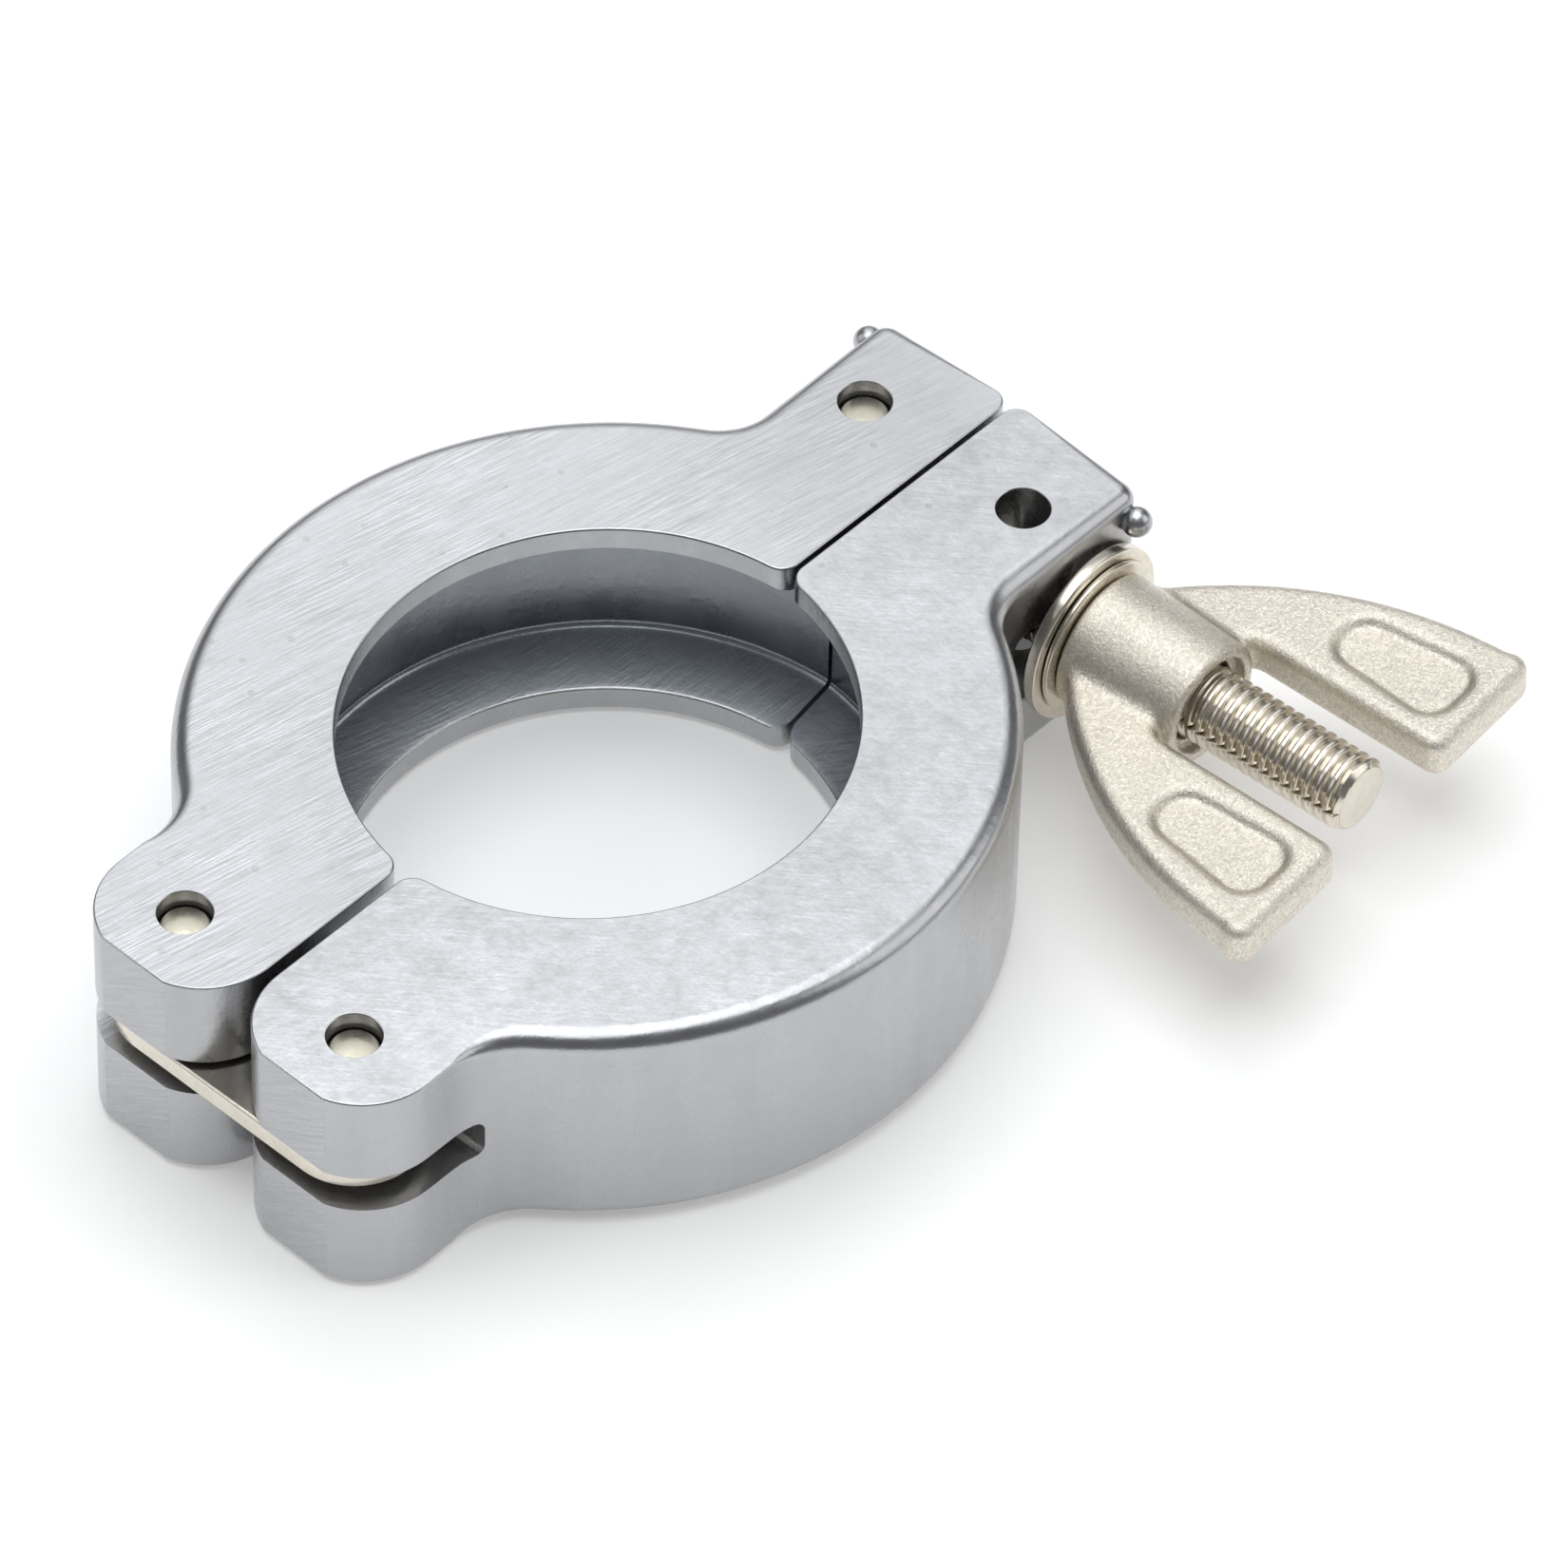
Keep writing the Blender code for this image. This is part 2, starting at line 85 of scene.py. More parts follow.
def length(name, millimetres, description):
    """A length property, in metres, with its default given in millimetres."""
    return FloatProperty(name=name, description=description, default=millimetres * MM, min=0.0,
                         unit="LENGTH", subtype="DISTANCE", precision=5)


def colour(name, rgb, description):
    """A colour property."""
    return FloatVectorProperty(name=name, description=description, default=rgb, size=3, min=0.0, max=1.0,
                               subtype="COLOR")


class JawSettings(bpy.types.PropertyGroup):
    """Sizes of the two castings."""

    bore_radius: length("Bore radius", 16.2, "Radius of the bore of each jaw")
    bore_offset: length("Bore offset", 1.1, "How far past the parting line each bore is struck from")
    outer_radius: length("Outer radius", 25.99, "Radius of the outer wall")
    outer_offset: length("Outer offset", 1.4, "How far past the parting line the outer wall is struck from")
    groove_radius: length("Groove radius", 20.4, "Radius of the groove that takes the flange rims")
    groove_bottom: length("Groove bottom", 9.9, "Width of the groove at its bottom")
    fillet: length("Outer fillet", 1.3, "Rounding of the outer edges")
    edge: length("Cut edge", 0.14, "Small break on the machined edges")
    hinge_reach: length("Hinge reach", 27.4, "From the bore's axis back to the hinge pins")


class FastenerSettings(bpy.types.PropertyGroup):
    """Sizes of the bolt, the washers and the wing nut."""

    bolt_radius: length("Thread radius", 2.44, "Outer radius of the thread")
    bolt_length: length("Bolt length", 38.3, "From the bolt's pin to its end")
    pitch: length("Thread pitch", 0.8, "Distance from one thread to the next")
    thrust_radius: length("Thick washer radius", 5.8, "Radius of the thick washer")
    thin_radius: length("Thin washer radius", 5.1, "Radius of the thin washer")
    wing_span: length("Wing span", 27.4, "From wing tip to wing tip")
    wing_length: length("Wing length", 21.9, "From the nut's base to its wing tips")
    wing_thickness: length("Wing thickness", 3.1, "Thickness of the wings")


class MetalSettings(bpy.types.PropertyGroup):
    """Colours of the metals, and of the painted shade in the groove."""

    cast: colour("Cast aluminium", (0.56, 0.565, 0.58), "Colour of the jaws")
    plated: colour("Nickel plate", (0.74, 0.69, 0.6), "Colour of the plated steel")
    pin: colour("Pins", (0.56, 0.53, 0.44), "Colour of the pins' ends")
    # Painted shade: this colour darkens the groove, standing in for the shade that falls there.
    painted_groove_shade: colour("Raw casting", (0.34, 0.36, 0.39), "Colour of the unworked skin in the groove")
    blasted: colour("Blasted nickel", (0.75, 0.7, 0.61), "Colour of the wing nut")


# ------------------------------------------------------------------------------------------ mesh helpers


def mesh_object(name, vertices, faces, merge=1e-6):
    """A closed mesh object at the origin from vertices in world metres. Points that fall together are
    merged, faces without area are dropped and the rest are turned outwards."""
    mesh = bpy.data.meshes.new(name)
    mesh.from_pydata(np.asarray(vertices).reshape(-1, 3).tolist(), [], faces)
    bm = bmesh.new()
    bm.from_mesh(mesh)
    bmesh.ops.remove_doubles(bm, verts=bm.verts, dist=merge)
    bmesh.ops.dissolve_degenerate(bm, edges=bm.edges, dist=merge)
    bmesh.ops.recalc_face_normals(bm, faces=bm.faces)
    bm.to_mesh(mesh)
    bm.free()
    thing = bpy.data.objects.new(name, mesh)
    bpy.context.scene.collection.objects.link(thing)
    return thing


def grid_faces(rows, columns, closed_rows=False):
    """The quads of a grid whose columns close round on themselves; the rows do too if closed_rows."""
    row, column = np.meshgrid(np.arange(rows if closed_rows else rows - 1), np.arange(columns), indexing="ij")
    above, beside = (row + 1) % rows, (column + 1) % columns
    corners = (row * columns + column, row * columns + beside, above * columns + beside,
               above * columns + column)
    return np.stack(corners, axis=-1).reshape(-1, 4).tolist()


def turned(name, profile, centre, axis=(0, 0, 1), steps=96, closed=True):
    """A surface of revolution: each (radius, height) point of the profile is carried round the axis. A
    profile that isn't closed starts and ends on the axis."""
    axis = np.array(axis, float) / np.linalg.norm(axis)
    side = np.cross(axis, (0, 0, 1.0) if abs(axis[2]) < 0.9 else (1.0, 0, 0))
    side /= np.linalg.norm(side)
    other = np.cross(axis, side)
    profile = np.array(profile, float)
    angle = np.linspace(0, 2 * np.pi, steps, endpoint=False)
    ring = np.cos(angle)[:, None] * side + np.sin(angle)[:, None] * other
    points = np.array(centre) + profile[:, 1, None, None] * axis + profile[:, 0, None, None] * ring
    return mesh_object(name, points, grid_faces(len(profile), steps, closed))


def arc(centre, radius, start, end, step=3.0, outward=1):
    """An arc of a circle between two angles in degrees. Returns its points and the unit vectors that point
    out of the metal: away from the centre for outward = 1, towards it for -1."""
    count = max(4, math.ceil(abs(end - start) / step))
    angle = np.radians(np.linspace(start, end, count + 1))
    direction = np.stack([np.cos(angle), np.sin(angle)], axis=1)
    return np.array(centre) + radius * direction, outward * direction


def rounded_plate(points, normals, edge, half, steps):
    """A flat plate about the level zero whose outline is carried up the wall and over its rounded edges: at
    the angle a of the quarter round of radius e, a point steps in by e(1 - cos a) and stands at
    half the height - e(1 - sin a). The two flat faces close it. Returns vertices and faces."""
    angle = np.linspace(0, math.pi / 2, steps)[:, None]
    step_in = edge * (1 - np.cos(angle))
    height = half - edge * (1 - np.sin(angle))
    step_in = np.concatenate([step_in[::-1], step_in])
    height = np.concatenate([-height[::-1], height])
    plan = points[None] - step_in[..., None] * normals[None]
    rows, columns = height.shape
    bottom, top = list(range(columns))[::-1], list(range((rows - 1) * columns, rows * columns))
    return np.concatenate([plan, height[..., None]], axis=2), grid_faces(rows, columns) + [bottom, top]


def rounded(radius, height, round_radius, steps=5):
    """A quarter round on a profile, from the side of a disc over to its top face: (radius, height) points."""
    angle = np.linspace(0, math.pi / 2, steps + 1)
    return [(radius - round_radius * (1 - math.cos(a)), height - round_radius * (1 - math.sin(a)))
            for a in angle]


def boolean(thing, cutter, operation):
    """Cuts or joins a piece with another one, which is used up."""
    modifier = thing.modifiers.new(operation.title(), "BOOLEAN")
    modifier.object = cutter
    modifier.operation = operation
    modifier.solver = "EXACT"
    bpy.context.view_layer.update()
    solid = thing.evaluated_get(bpy.context.evaluated_depsgraph_get())
    mesh = bpy.data.meshes.new_from_object(solid)
    if not mesh.polygons:
        raise RuntimeError(f"{thing.name}: the {operation.lower()} with {cutter.name} left nothing")
    thing.modifiers.clear()
    old, thing.data = thing.data, mesh
    bpy.data.meshes.remove(old)
    bpy.data.objects.remove(cutter)


def slot_cutter(name, low, high, corner):
    """A bar between two corners, used as a cutter: a rectangle in X and Z with round corners, carried
    along Y."""
    left, right, bottom, top = low[0] + corner, high[0] - corner, low[2] + corner, high[2] - corner
    centres = ((right, top, 0), (left, top, 90), (left, bottom, 180), (right, bottom, 270))
    outline = np.concatenate([arc((x, z), corner, start, start + 90, 15)[0] for x, z, start in centres])
    count = len(outline)
    points = [np.insert(outline, 1, y, axis=1) for y in (high[1], low[1])]
    faces = grid_faces(2, count) + [list(range(count))[::-1], list(range(count, 2 * count))]
    return mesh_object(name, np.concatenate(points), faces)


def shade(thing, metal, angle=32):
    """Smooth shading that keeps the edges sharper than the angle, with flat faces left flat."""
    mesh = thing.data
    mesh.shade_smooth()
    mesh.set_sharp_from_angle(angle=math.radians(angle))
    mesh.materials.clear()
    mesh.materials.append(metal)
    flat = thing.modifiers.new("Flat faces", "WEIGHTED_NORMAL")
    flat.keep_sharp = True


def settle(thing, body, slot, *nodes):
    """Hands a finished piece to the frame: it rides on a body and stands for its nodes."""
    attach(thing, body)
    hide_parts(*nodes)


# -------------------------------------------------------------------------------------------------- jaws

TONGUE_END = 36.2 * MM  # from the bore's axis to the end of the tongue
TONGUE_SIDE = 10.4 * MM  # from the parting line to the tongue's outer wall
TONGUE_CORNER = 1.2 * MM
TONGUE_BLEND = 3.8 * MM
BOLT_GAP = 0.15 * MM
LUG_PAST_PIN = 4.7 * MM
LUG_SIDE = 5.6 * MM  # from the pin to the lug's outer wall
LUG_CORNER = 5.2 * MM
LUG_CREASE = 18.0  # degrees that each corner stops short of running smoothly into the ground flat
LUG_BLEND = 6.0 * MM
HINGE_GAP = 0.35 * MM
BORE_CORNER = 1.3 * MM
HOLE_RADIUS = 1.65 * MM
LINK_SLOT = 2.8 * MM
LINK_SLOT_REACH = 4.5 * MM
LINK_SLOT_CORNER = 0.7 * MM
BOLT_SLOT = 5.6 * MM
BOLT_SLOT_REACH = 4.95 * MM
BOLT_SLOT_CORNER = 0.9 * MM
NUB_RADIUS = 0.95 * MM
NUB_HEIGHT = 5.9 * MM  # from the middle plane
FLANK = math.radians(15)
GROOVE_FILLET = 0.5 * MM
GROOVE_PAST_BORE = 1.0 * MM  # how far the groove's cutter reaches into the bore
LIP_BREAK = 0.3  # of the cut edge, where the groove's flank meets its lip
HOLE_FLARE = 0.05 * MM
SLOT_REACH = 60 * MM  # how far a slot's cutter runs out of the casting


def bore_centre(jaw):
    """The point of the parting line that both castings are drawn from."""
    return np.array([HINGE_A[0] + jaw.hinge_reach, PARTING, MIDDLE])


def blend_centre(offset, radius, line, blend):
    """Where a blend circle stands that lies on y = line and touches the circle about (0, -offset)."""
    y = line + blend
    return math.sqrt((radius + blend) ** 2 - (y + offset) ** 2), y


def facing(centre, offset):
    """The angle, in degrees, at which a blend circle looks at (0, -offset)."""
    return math.degrees(math.atan2(-offset - centre[1], -centre[0])) % 360


def jaw_outline(jaw):
    """Jaw A's outline about the bore, anticlockwise, as touching arcs. Returns its points, the unit vectors
    out of the metal, and the rounding that each point's edge has above and below."""
    lug_end = jaw.hinge_reach + LUG_PAST_PIN
    lug_side = HINGE_A[1] - PARTING + LUG_SIDE
    notch = blend_centre(jaw.outer_offset, jaw.outer_radius, TONGUE_SIDE, TONGUE_BLEND)
    neck = blend_centre(jaw.outer_offset, jaw.outer_radius, lug_side, LUG_BLEND)
    neck = (-neck[0], neck[1])
    bolt_corner = blend_centre(jaw.bore_offset, jaw.bore_radius, BOLT_GAP, BORE_CORNER)
    hinge_corner = blend_centre(jaw.bore_offset, jaw.bore_radius, HINGE_GAP, BORE_CORNER)
    hinge_corner = (-hinge_corner[0], hinge_corner[1])
    notch_angle, neck_angle = facing(notch, jaw.outer_offset), facing(neck, jaw.outer_offset)
    hinge_angle, bolt_angle = facing(hinge_corner, jaw.bore_offset), facing(bolt_corner, jaw.bore_offset)

    outer = [
        arc((TONGUE_END - TONGUE_CORNER, TONGUE_SIDE - TONGUE_CORNER), TONGUE_CORNER, 0, 90, 10),
        arc(notch, TONGUE_BLEND, 270, notch_angle, 6, -1),
        arc((0, -jaw.outer_offset), jaw.outer_radius, notch_angle - 180, neck_angle - 180, 1.5),
        arc(neck, LUG_BLEND, neck_angle, 270, 5, -1),
    ]
    lug_x = LUG_CORNER * math.cos(math.radians(LUG_CREASE)) - lug_end
    inner = [
        arc((lug_x, lug_side - LUG_CORNER), LUG_CORNER, 90, 180 - LUG_CREASE, 5),
        arc((lug_x, HINGE_GAP + LUG_CORNER), LUG_CORNER, 180 + LUG_CREASE, 270, 5),
        arc(hinge_corner, BORE_CORNER, -90, hinge_angle - 360, 8),
        arc((0, -jaw.bore_offset), jaw.bore_radius, hinge_angle - 180, bolt_angle - 180, 1.5, -1),
        arc(bolt_corner, BORE_CORNER, bolt_angle, 270, 8),
        arc((TONGUE_END - TONGUE_CORNER, BOLT_GAP + TONGUE_CORNER), TONGUE_CORNER, 270, 360, 10),
    ]
    tongue_count, fading = len(outer[0][0]), len(outer[-1][0])
    outer_count = sum(len(points) for points, _ in outer)
    points = np.concatenate([points for points, _ in outer + inner])
    normals = np.concatenate([normals for _, normals in outer + inner])
    edge = np.full(len(points), jaw.edge)
    edge[:outer_count] = jaw.fillet
    edge[:tongue_count] = min(jaw.fillet, 0.85 * TONGUE_CORNER)
    fade = np.linspace(0, 1, fading) ** 2
    edge[outer_count - fading:outer_count] = jaw.fillet + (jaw.edge - jaw.fillet) * fade
    return points, normals, edge


def jaw_wall(jaw, side, half):
    """The casting before its cuts: the outline carried over its edges, mirrored for jaw B."""
    vertices, faces = rounded_plate(*jaw_outline(jaw), half, 7)
    return vertices * (1, side, 1) + bore_centre(jaw), faces


def groove(jaw, side):
    """The groove's cutter: a closed profile with 15 degree flanks, turned about the jaw's own bore."""
    bottom = jaw.groove_bottom / 2
    lip = bottom + (jaw.groove_radius - jaw.bore_radius) * math.tan(FLANK)
    mouth = lip + GROOVE_PAST_BORE * math.tan(FLANK)
    corner = rounded(jaw.groove_radius, bottom, GROOVE_FILLET, 4)
    half = corner + [(jaw.bore_radius + jaw.edge, lip - LIP_BREAK * jaw.edge),
                     (jaw.bore_radius - 0.02 * MM, lip + jaw.edge),
                     (jaw.bore_radius - GROOVE_PAST_BORE, mouth + jaw.edge)]
    profile = [(radius, -height) for radius, height in reversed(half)] + half
    centre = bore_centre(jaw) - (0, side * jaw.bore_offset, 0)
    return turned("groove", profile, centre, steps=240)


def make_jaw(settings, side, name, hinge, metal):
    """One casting: its wall with two balls at the tongue's outer corner, less the groove, the slots of the
    link and the bolt, and the two pin holes, which flare a little at the faces."""
    jaw = settings.jaw
    low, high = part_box(name)
    half = (high[2] - low[2]) / 2
    casting = mesh_object(name + "_casting", *jaw_wall(jaw, side, half))
    bolt_y = BOLT_PIN[1] - PARTING
    nub_x = bore_centre(jaw)[0] + TONGUE_END - NUB_RADIUS
    nub_y = PARTING + side * (TONGUE_SIDE + NUB_RADIUS / 2)
    for level in (-1, 1):
        angle = np.linspace(-math.pi / 2, math.pi / 2, 17)
        ball = np.stack([np.cos(angle), np.sin(angle)], axis=1) * NUB_RADIUS
        nub = turned("nub", ball, (nub_x, nub_y, MIDDLE + level * NUB_HEIGHT), steps=28, closed=False)
        boolean(casting, nub, "UNION")

    boolean(casting, groove(jaw, side), "DIFFERENCE")
    slots = (
        (hinge[0] - SLOT_REACH, hinge[0] + LINK_SLOT_REACH, LINK_SLOT, LINK_SLOT_CORNER),
        (BOLT_PIN[0] - BOLT_SLOT_REACH, BOLT_PIN[0] + SLOT_REACH, BOLT_SLOT, BOLT_SLOT_CORNER),
    )
    for start, end, width, corner in slots:
        cutter = slot_cutter("slot", (start, hinge[1] - SLOT_REACH, MIDDLE - width / 2),
                             (end, hinge[1] + SLOT_REACH, MIDDLE + width / 2), corner)
        boolean(casting, cutter, "DIFFERENCE")
    mouth = HOLE_RADIUS + 2 * HOLE_FLARE
    upper = [(HOLE_RADIUS, half - HOLE_FLARE), (mouth, half + HOLE_FLARE), (0, half + HOLE_FLARE)]
    profile = [(radius, -height) for radius, height in reversed(upper)] + upper
    for x, y in ((hinge[0], hinge[1]), (BOLT_PIN[0], PARTING + side * bolt_y)):
        boolean(casting, turned("hole", profile, (x, y, MIDDLE), steps=48, closed=False), "DIFFERENCE")
    shade(casting, metal)
    settle(casting, name, "cast_aluminium", name)


# ------------------------------------------------------------------------------------------ link and pins

LINK_THICKNESS = 1.5 * MM
LINK_WIDTH = 8.8 * MM
LINK_LIFT = 0.3 * MM
LINK_EDGE = 0.22 * MM
LINK_CUT = 4 * MM  # how far a hole's cutter reaches each way
PIN_RADIUS = 1.55 * MM
PIN_PLAY = 0.1 * MM  # between a pin and the link's hole
PIN_DOME = 0.12 * MM
PIN_CHAMFER = 0.15 * MM


def make_link(metal):
    """The link plate: a long rounded outline carried over its edges, with two holes for the pins."""
    end = LINK_WIDTH / 2
    arcs = [arc(HINGE_A[:2], end, 0, 180, 4), arc(HINGE_B[:2], end, 180, 360, 4)]
    points = np.concatenate([points for points, _ in arcs])
    normals = np.concatenate([normals for _, normals in arcs])
    edge = np.full(len(points), LINK_EDGE)
    vertices, faces = rounded_plate(points, normals, edge, LINK_THICKNESS / 2, 4)
    link = mesh_object("link_plate", vertices + (0, 0, MIDDLE + LINK_LIFT), faces)
    hole = PIN_RADIUS + PIN_PLAY
    for pin in (HINGE_A, HINGE_B):
        profile = [(0, -LINK_CUT), (hole, -LINK_CUT), (hole, LINK_CUT), (0, LINK_CUT)]
        boolean(link, turned("hole", profile, pin, steps=48, closed=False), "DIFFERENCE")
    shade(link, metal)
    settle(link, "link", "nickel_plate", "hinge_link")


def make_pin(node, body, place, metal):
    """A plain pin with slightly domed ends: its end stands lower by the square of the radius."""
    low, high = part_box(node)
    half = (high[2] - low[2]) / 2
    radius = np.linspace(0, PIN_RADIUS - PIN_CHAMFER, 6)
    top = [(r, half - PIN_DOME * (r / PIN_RADIUS) ** 2) for r in radius]
    top += [(PIN_RADIUS, half - PIN_DOME - PIN_CHAMFER)]
    profile = [(r, -height) for r, height in top] + top[::-1]
    pin = turned(node + "_turned", profile, (place[0], place[1], MIDDLE), steps=48, closed=False)
    shade(pin, metal)
    settle(pin, body, "nickel_pin", node)


# --------------------------------------------------------------------------------------- bolt and washers

EYE_RADIUS = 4.6 * MM
EYE_THICKNESS = 4.9 * MM
EYE_HOLE = 1.7 * MM
EYE_ROUND = 0.7 * MM
EYE_EDGE = 0.2 * MM
SHANK_ROOT = 1.2 * MM  # how far the shank starts inside the eye
THREAD_DEPTH = 0.38 * MM
THREAD_START = 11.0 * MM  # from the bolt's pin
RUN_OUT = 0.8 * MM
ROOT_EDGE, CREST_EDGE = 0.06, 0.74  # where a flank meets the root and the crest, in half turns
BOLT_CHAMFER = 0.35 * MM
WASHER_PLAY = 0.3 * MM  # between the thread and a washer's hole
WASHER_HOLE_EDGE = 0.1 * MM
THRUST_THICKNESS, THRUST_EDGE = 0.85 * MM, 0.18 * MM
THIN_THICKNESS, THIN_EDGE = 0.35 * MM, 0.1 * MM


def thread_profile(turn):
    """How deep the thread is cut, 0 to 1, over one turn: a crest, two flanks and a rounded root, as a
    clipped triangle wave softened by a cosine."""
    wave = np.abs((turn % 1.0) * 2 - 1)
    return 0.5 - 0.5 * np.cos(np.pi * np.clip((CREST_EDGE - wave) / (CREST_EDGE - ROOT_EDGE), 0, 1))


def make_bolt(settings, metal):
    """The eye bolt. Its shank is a radius over height and angle: the thread is cut by thread_profile of
    height / pitch - angle / full turn, and the rows climb with the thread, so that its crests stay whole."""
    sizes = settings.fastener
    steps, rows_a_turn = 48, 14
    pitch, end = sizes.pitch, sizes.bolt_length
    start = EYE_RADIUS - SHANK_ROOT
    rows = math.ceil((end - start) / pitch * rows_a_turn) + rows_a_turn
    share = np.arange(steps) / steps
    row = np.arange(-rows_a_turn, rows)[:, None]
    turns = row / rows_a_turn
    height = np.clip(start + (turns + share) * pitch, start, end)
    cut = thread_profile(turns + 0.5)
    depth = THREAD_DEPTH * cut * np.clip((height - THREAD_START) / RUN_OUT, 0, 1)
    end_radius = sizes.bolt_radius - BOLT_CHAMFER
    radius = np.minimum(sizes.bolt_radius - depth, end_radius + np.maximum(end - height, 0))
    cap = np.linspace(1, 0, 7)[1:, None] * end_radius * np.ones(steps)
    low_cap = np.zeros((1, steps))
    radius = np.concatenate([low_cap, radius, cap])
    height = np.concatenate([low_cap + start, height, np.full_like(cap, end)])
    angle = share * 2 * np.pi
    side = np.cross(BOLT_LINE, (0, 0, 1.0))
    ring = np.cos(angle)[:, None] * side + np.sin(angle)[:, None] * np.cross(BOLT_LINE, side)
    points = BOLT_PIN + height[..., None] * BOLT_LINE + radius[..., None] * ring
    bolt = mesh_object("threaded_bolt", points, grid_faces(*radius.shape), 2e-6)
    half = EYE_THICKNESS / 2
    upper = rounded(EYE_RADIUS, half, EYE_ROUND)
    upper += [(EYE_HOLE + EYE_EDGE, half), (EYE_HOLE, half - EYE_EDGE)]
    profile = upper + [(r, -z) for r, z in reversed(upper)]
    boolean(bolt, turned("eye", profile, BOLT_PIN, steps=72), "UNION")
    bore = [(0, -half - MM), (EYE_HOLE, -half - MM), (EYE_HOLE, half + MM), (0, half + MM)]
    boolean(bolt, turned("eye_hole", bore, BOLT_PIN, steps=72, closed=False), "DIFFERENCE")
    shade(bolt, metal, 50)
    settle(bolt, "swing_bolt", "nickel_plate", "swing_bolt")


def make_washer(node, radius, thickness, hole, edge, metal):
    """A washer: a closed profile with rounded outer edges, turned about the bolt's line."""
    half = thickness / 2
    upper = rounded(radius, half, edge)
    upper += [(hole + WASHER_HOLE_EDGE, half), (hole, half - WASHER_HOLE_EDGE)]
    profile = upper + [(r, -z) for r, z in reversed(upper)]
    centre = BOLT_PIN + along_bolt(node) * BOLT_LINE
    washer = turned(node + "_turned", profile, centre, BOLT_LINE, 128)
    shade(washer, metal)
    settle(washer, node, "nickel_plate", node)


# ---------------------------------------------------------------------------------------------- wing nut

HUB_BASE = 4.45 * MM
HUB_END = 4.05 * MM
HUB_LENGTH = 8.5 * MM
HUB_ROUND = 0.35 * MM
NUT_HOLE = 2.68 * MM
MOUTH_RADIUS = 3.25 * MM
MOUTH_DEPTH = 0.75 * MM
WING_ROUND = 0.85 * MM
WING_TILT = math.radians(3)
WING_ROOT = 0.6 * MM  # how far a wing's outer edge starts inside the hub
WING_START = 0.3 * MM  # from the nut's base to the wings
WING_GAP = 4.7 * MM  # from the axis to a wing's inner edge
WING_BULGE = 2.7 * MM
WING_CORNER = 1.1 * MM
NOTCH = 1.3 * MM
NOTCH_DEPTH = 1.15 * MM
WELD = 0.7 * MM  # softness of the join of wings and hub
POCKET_DEPTH = 0.5 * MM
POCKET_SLOPE = 0.5 * MM  # how wide the pocket's sloping wall is
POCKET_START = 11.6 * MM  # from the nut's base to the pocket's narrow end
POCKET_CORNER = 1.75 * MM
POCKET_RIM = 1.7 * MM  # of wing left inside the pocket and past its far end
POCKET_OUTER_RIM = 2.4 * MM
POCKET_SKEW = (0.3 * MM, 0.7 * MM)  # how far the narrow end's corners stand out from the inner side
POCKET_BLEND = 0.25 * MM
POCKET_STEEPNESS = 0.7  # scales the pocket's slope back to about that of a true distance
NUT_BASE = 0.235 * MM  # from the thin washer's middle to the nut's base
CELL = 0.17 * MM


def soft_least(a, b, softness):
    """The smaller of two distances, blended by a quadratic where they differ by less than softness."""
    h = np.maximum(softness - np.abs(a - b), 0) / softness
    return np.minimum(a, b) - h * h * softness / 4


def polygon_distance(x, y, corners):
    """Signed distance in the plane to a closed polygon, negative inside: the least distance to any side,
    with its sign from how often a ray crosses the sides."""
    nearest = np.full(np.shape(x), 1e9)
    inside = np.zeros(np.shape(x), bool)
    for (ax, ay), (bx, by) in zip(corners, np.roll(corners, -1, axis=0)):
        ex, ey = bx - ax, by - ay
        t = np.clip(((x - ax) * ex + (y - ay) * ey) / (ex * ex + ey * ey), 0, 1)
        nearest = np.minimum(nearest, np.hypot(x - ax - t * ex, y - ay - t * ey))
        if ay != by:
            inside ^= ((ay > y) != (by > y)) & (x < ax + (y - ay) * ex / ey)
    return np.where(inside, -nearest, nearest)


def wing_outline(sizes, inset):
    """One wing's corners, X out from the axis and Y from the base to the tip, inset by its rounding. The
    outer edge is an arc that bows out from its chord."""
    root = np.array([HUB_BASE - WING_ROOT, WING_START])
    tip = np.array([sizes.wing_span / 2, sizes.wing_length])
    chord = np.linalg.norm(tip - root)
    along = (tip - root) / chord
    out = np.array([along[1], -along[0]])
    share = np.linspace(0, 1, 25)[:, None]
    outer = root + share * (tip - root) + 4 * share * (1 - share) * WING_BULGE * out - out * inset
    outer = outer[(outer[:, 1] < tip[1] - inset) & (outer[:, 1] > WING_START + inset)]
    floor = HUB_LENGTH - NOTCH_DEPTH
    notch, _ = arc((WING_GAP - NOTCH, floor + NOTCH), NOTCH + inset, 0, -90, 10)
    corners = [(0, WING_START + inset), *outer, (outer[-1][0] + 0.2 * MM, tip[1] - inset),
               (WING_GAP + inset, tip[1] - inset), *notch, (0, floor - inset)]
    return np.array(corners)


def pocket_outline(sizes):
    """The floor of a thumb recess: a wedge, narrow towards the hub."""
    inner = WING_GAP + POCKET_RIM + POCKET_CORNER
    outer = sizes.wing_span / 2 - POCKET_OUTER_RIM - POCKET_CORNER
    far, near = sizes.wing_length - POCKET_RIM - POCKET_CORNER, POCKET_START + POCKET_CORNER
    return np.array([(outer, far), (inner, far)] + [(inner + skew, near) for skew in POCKET_SKEW])


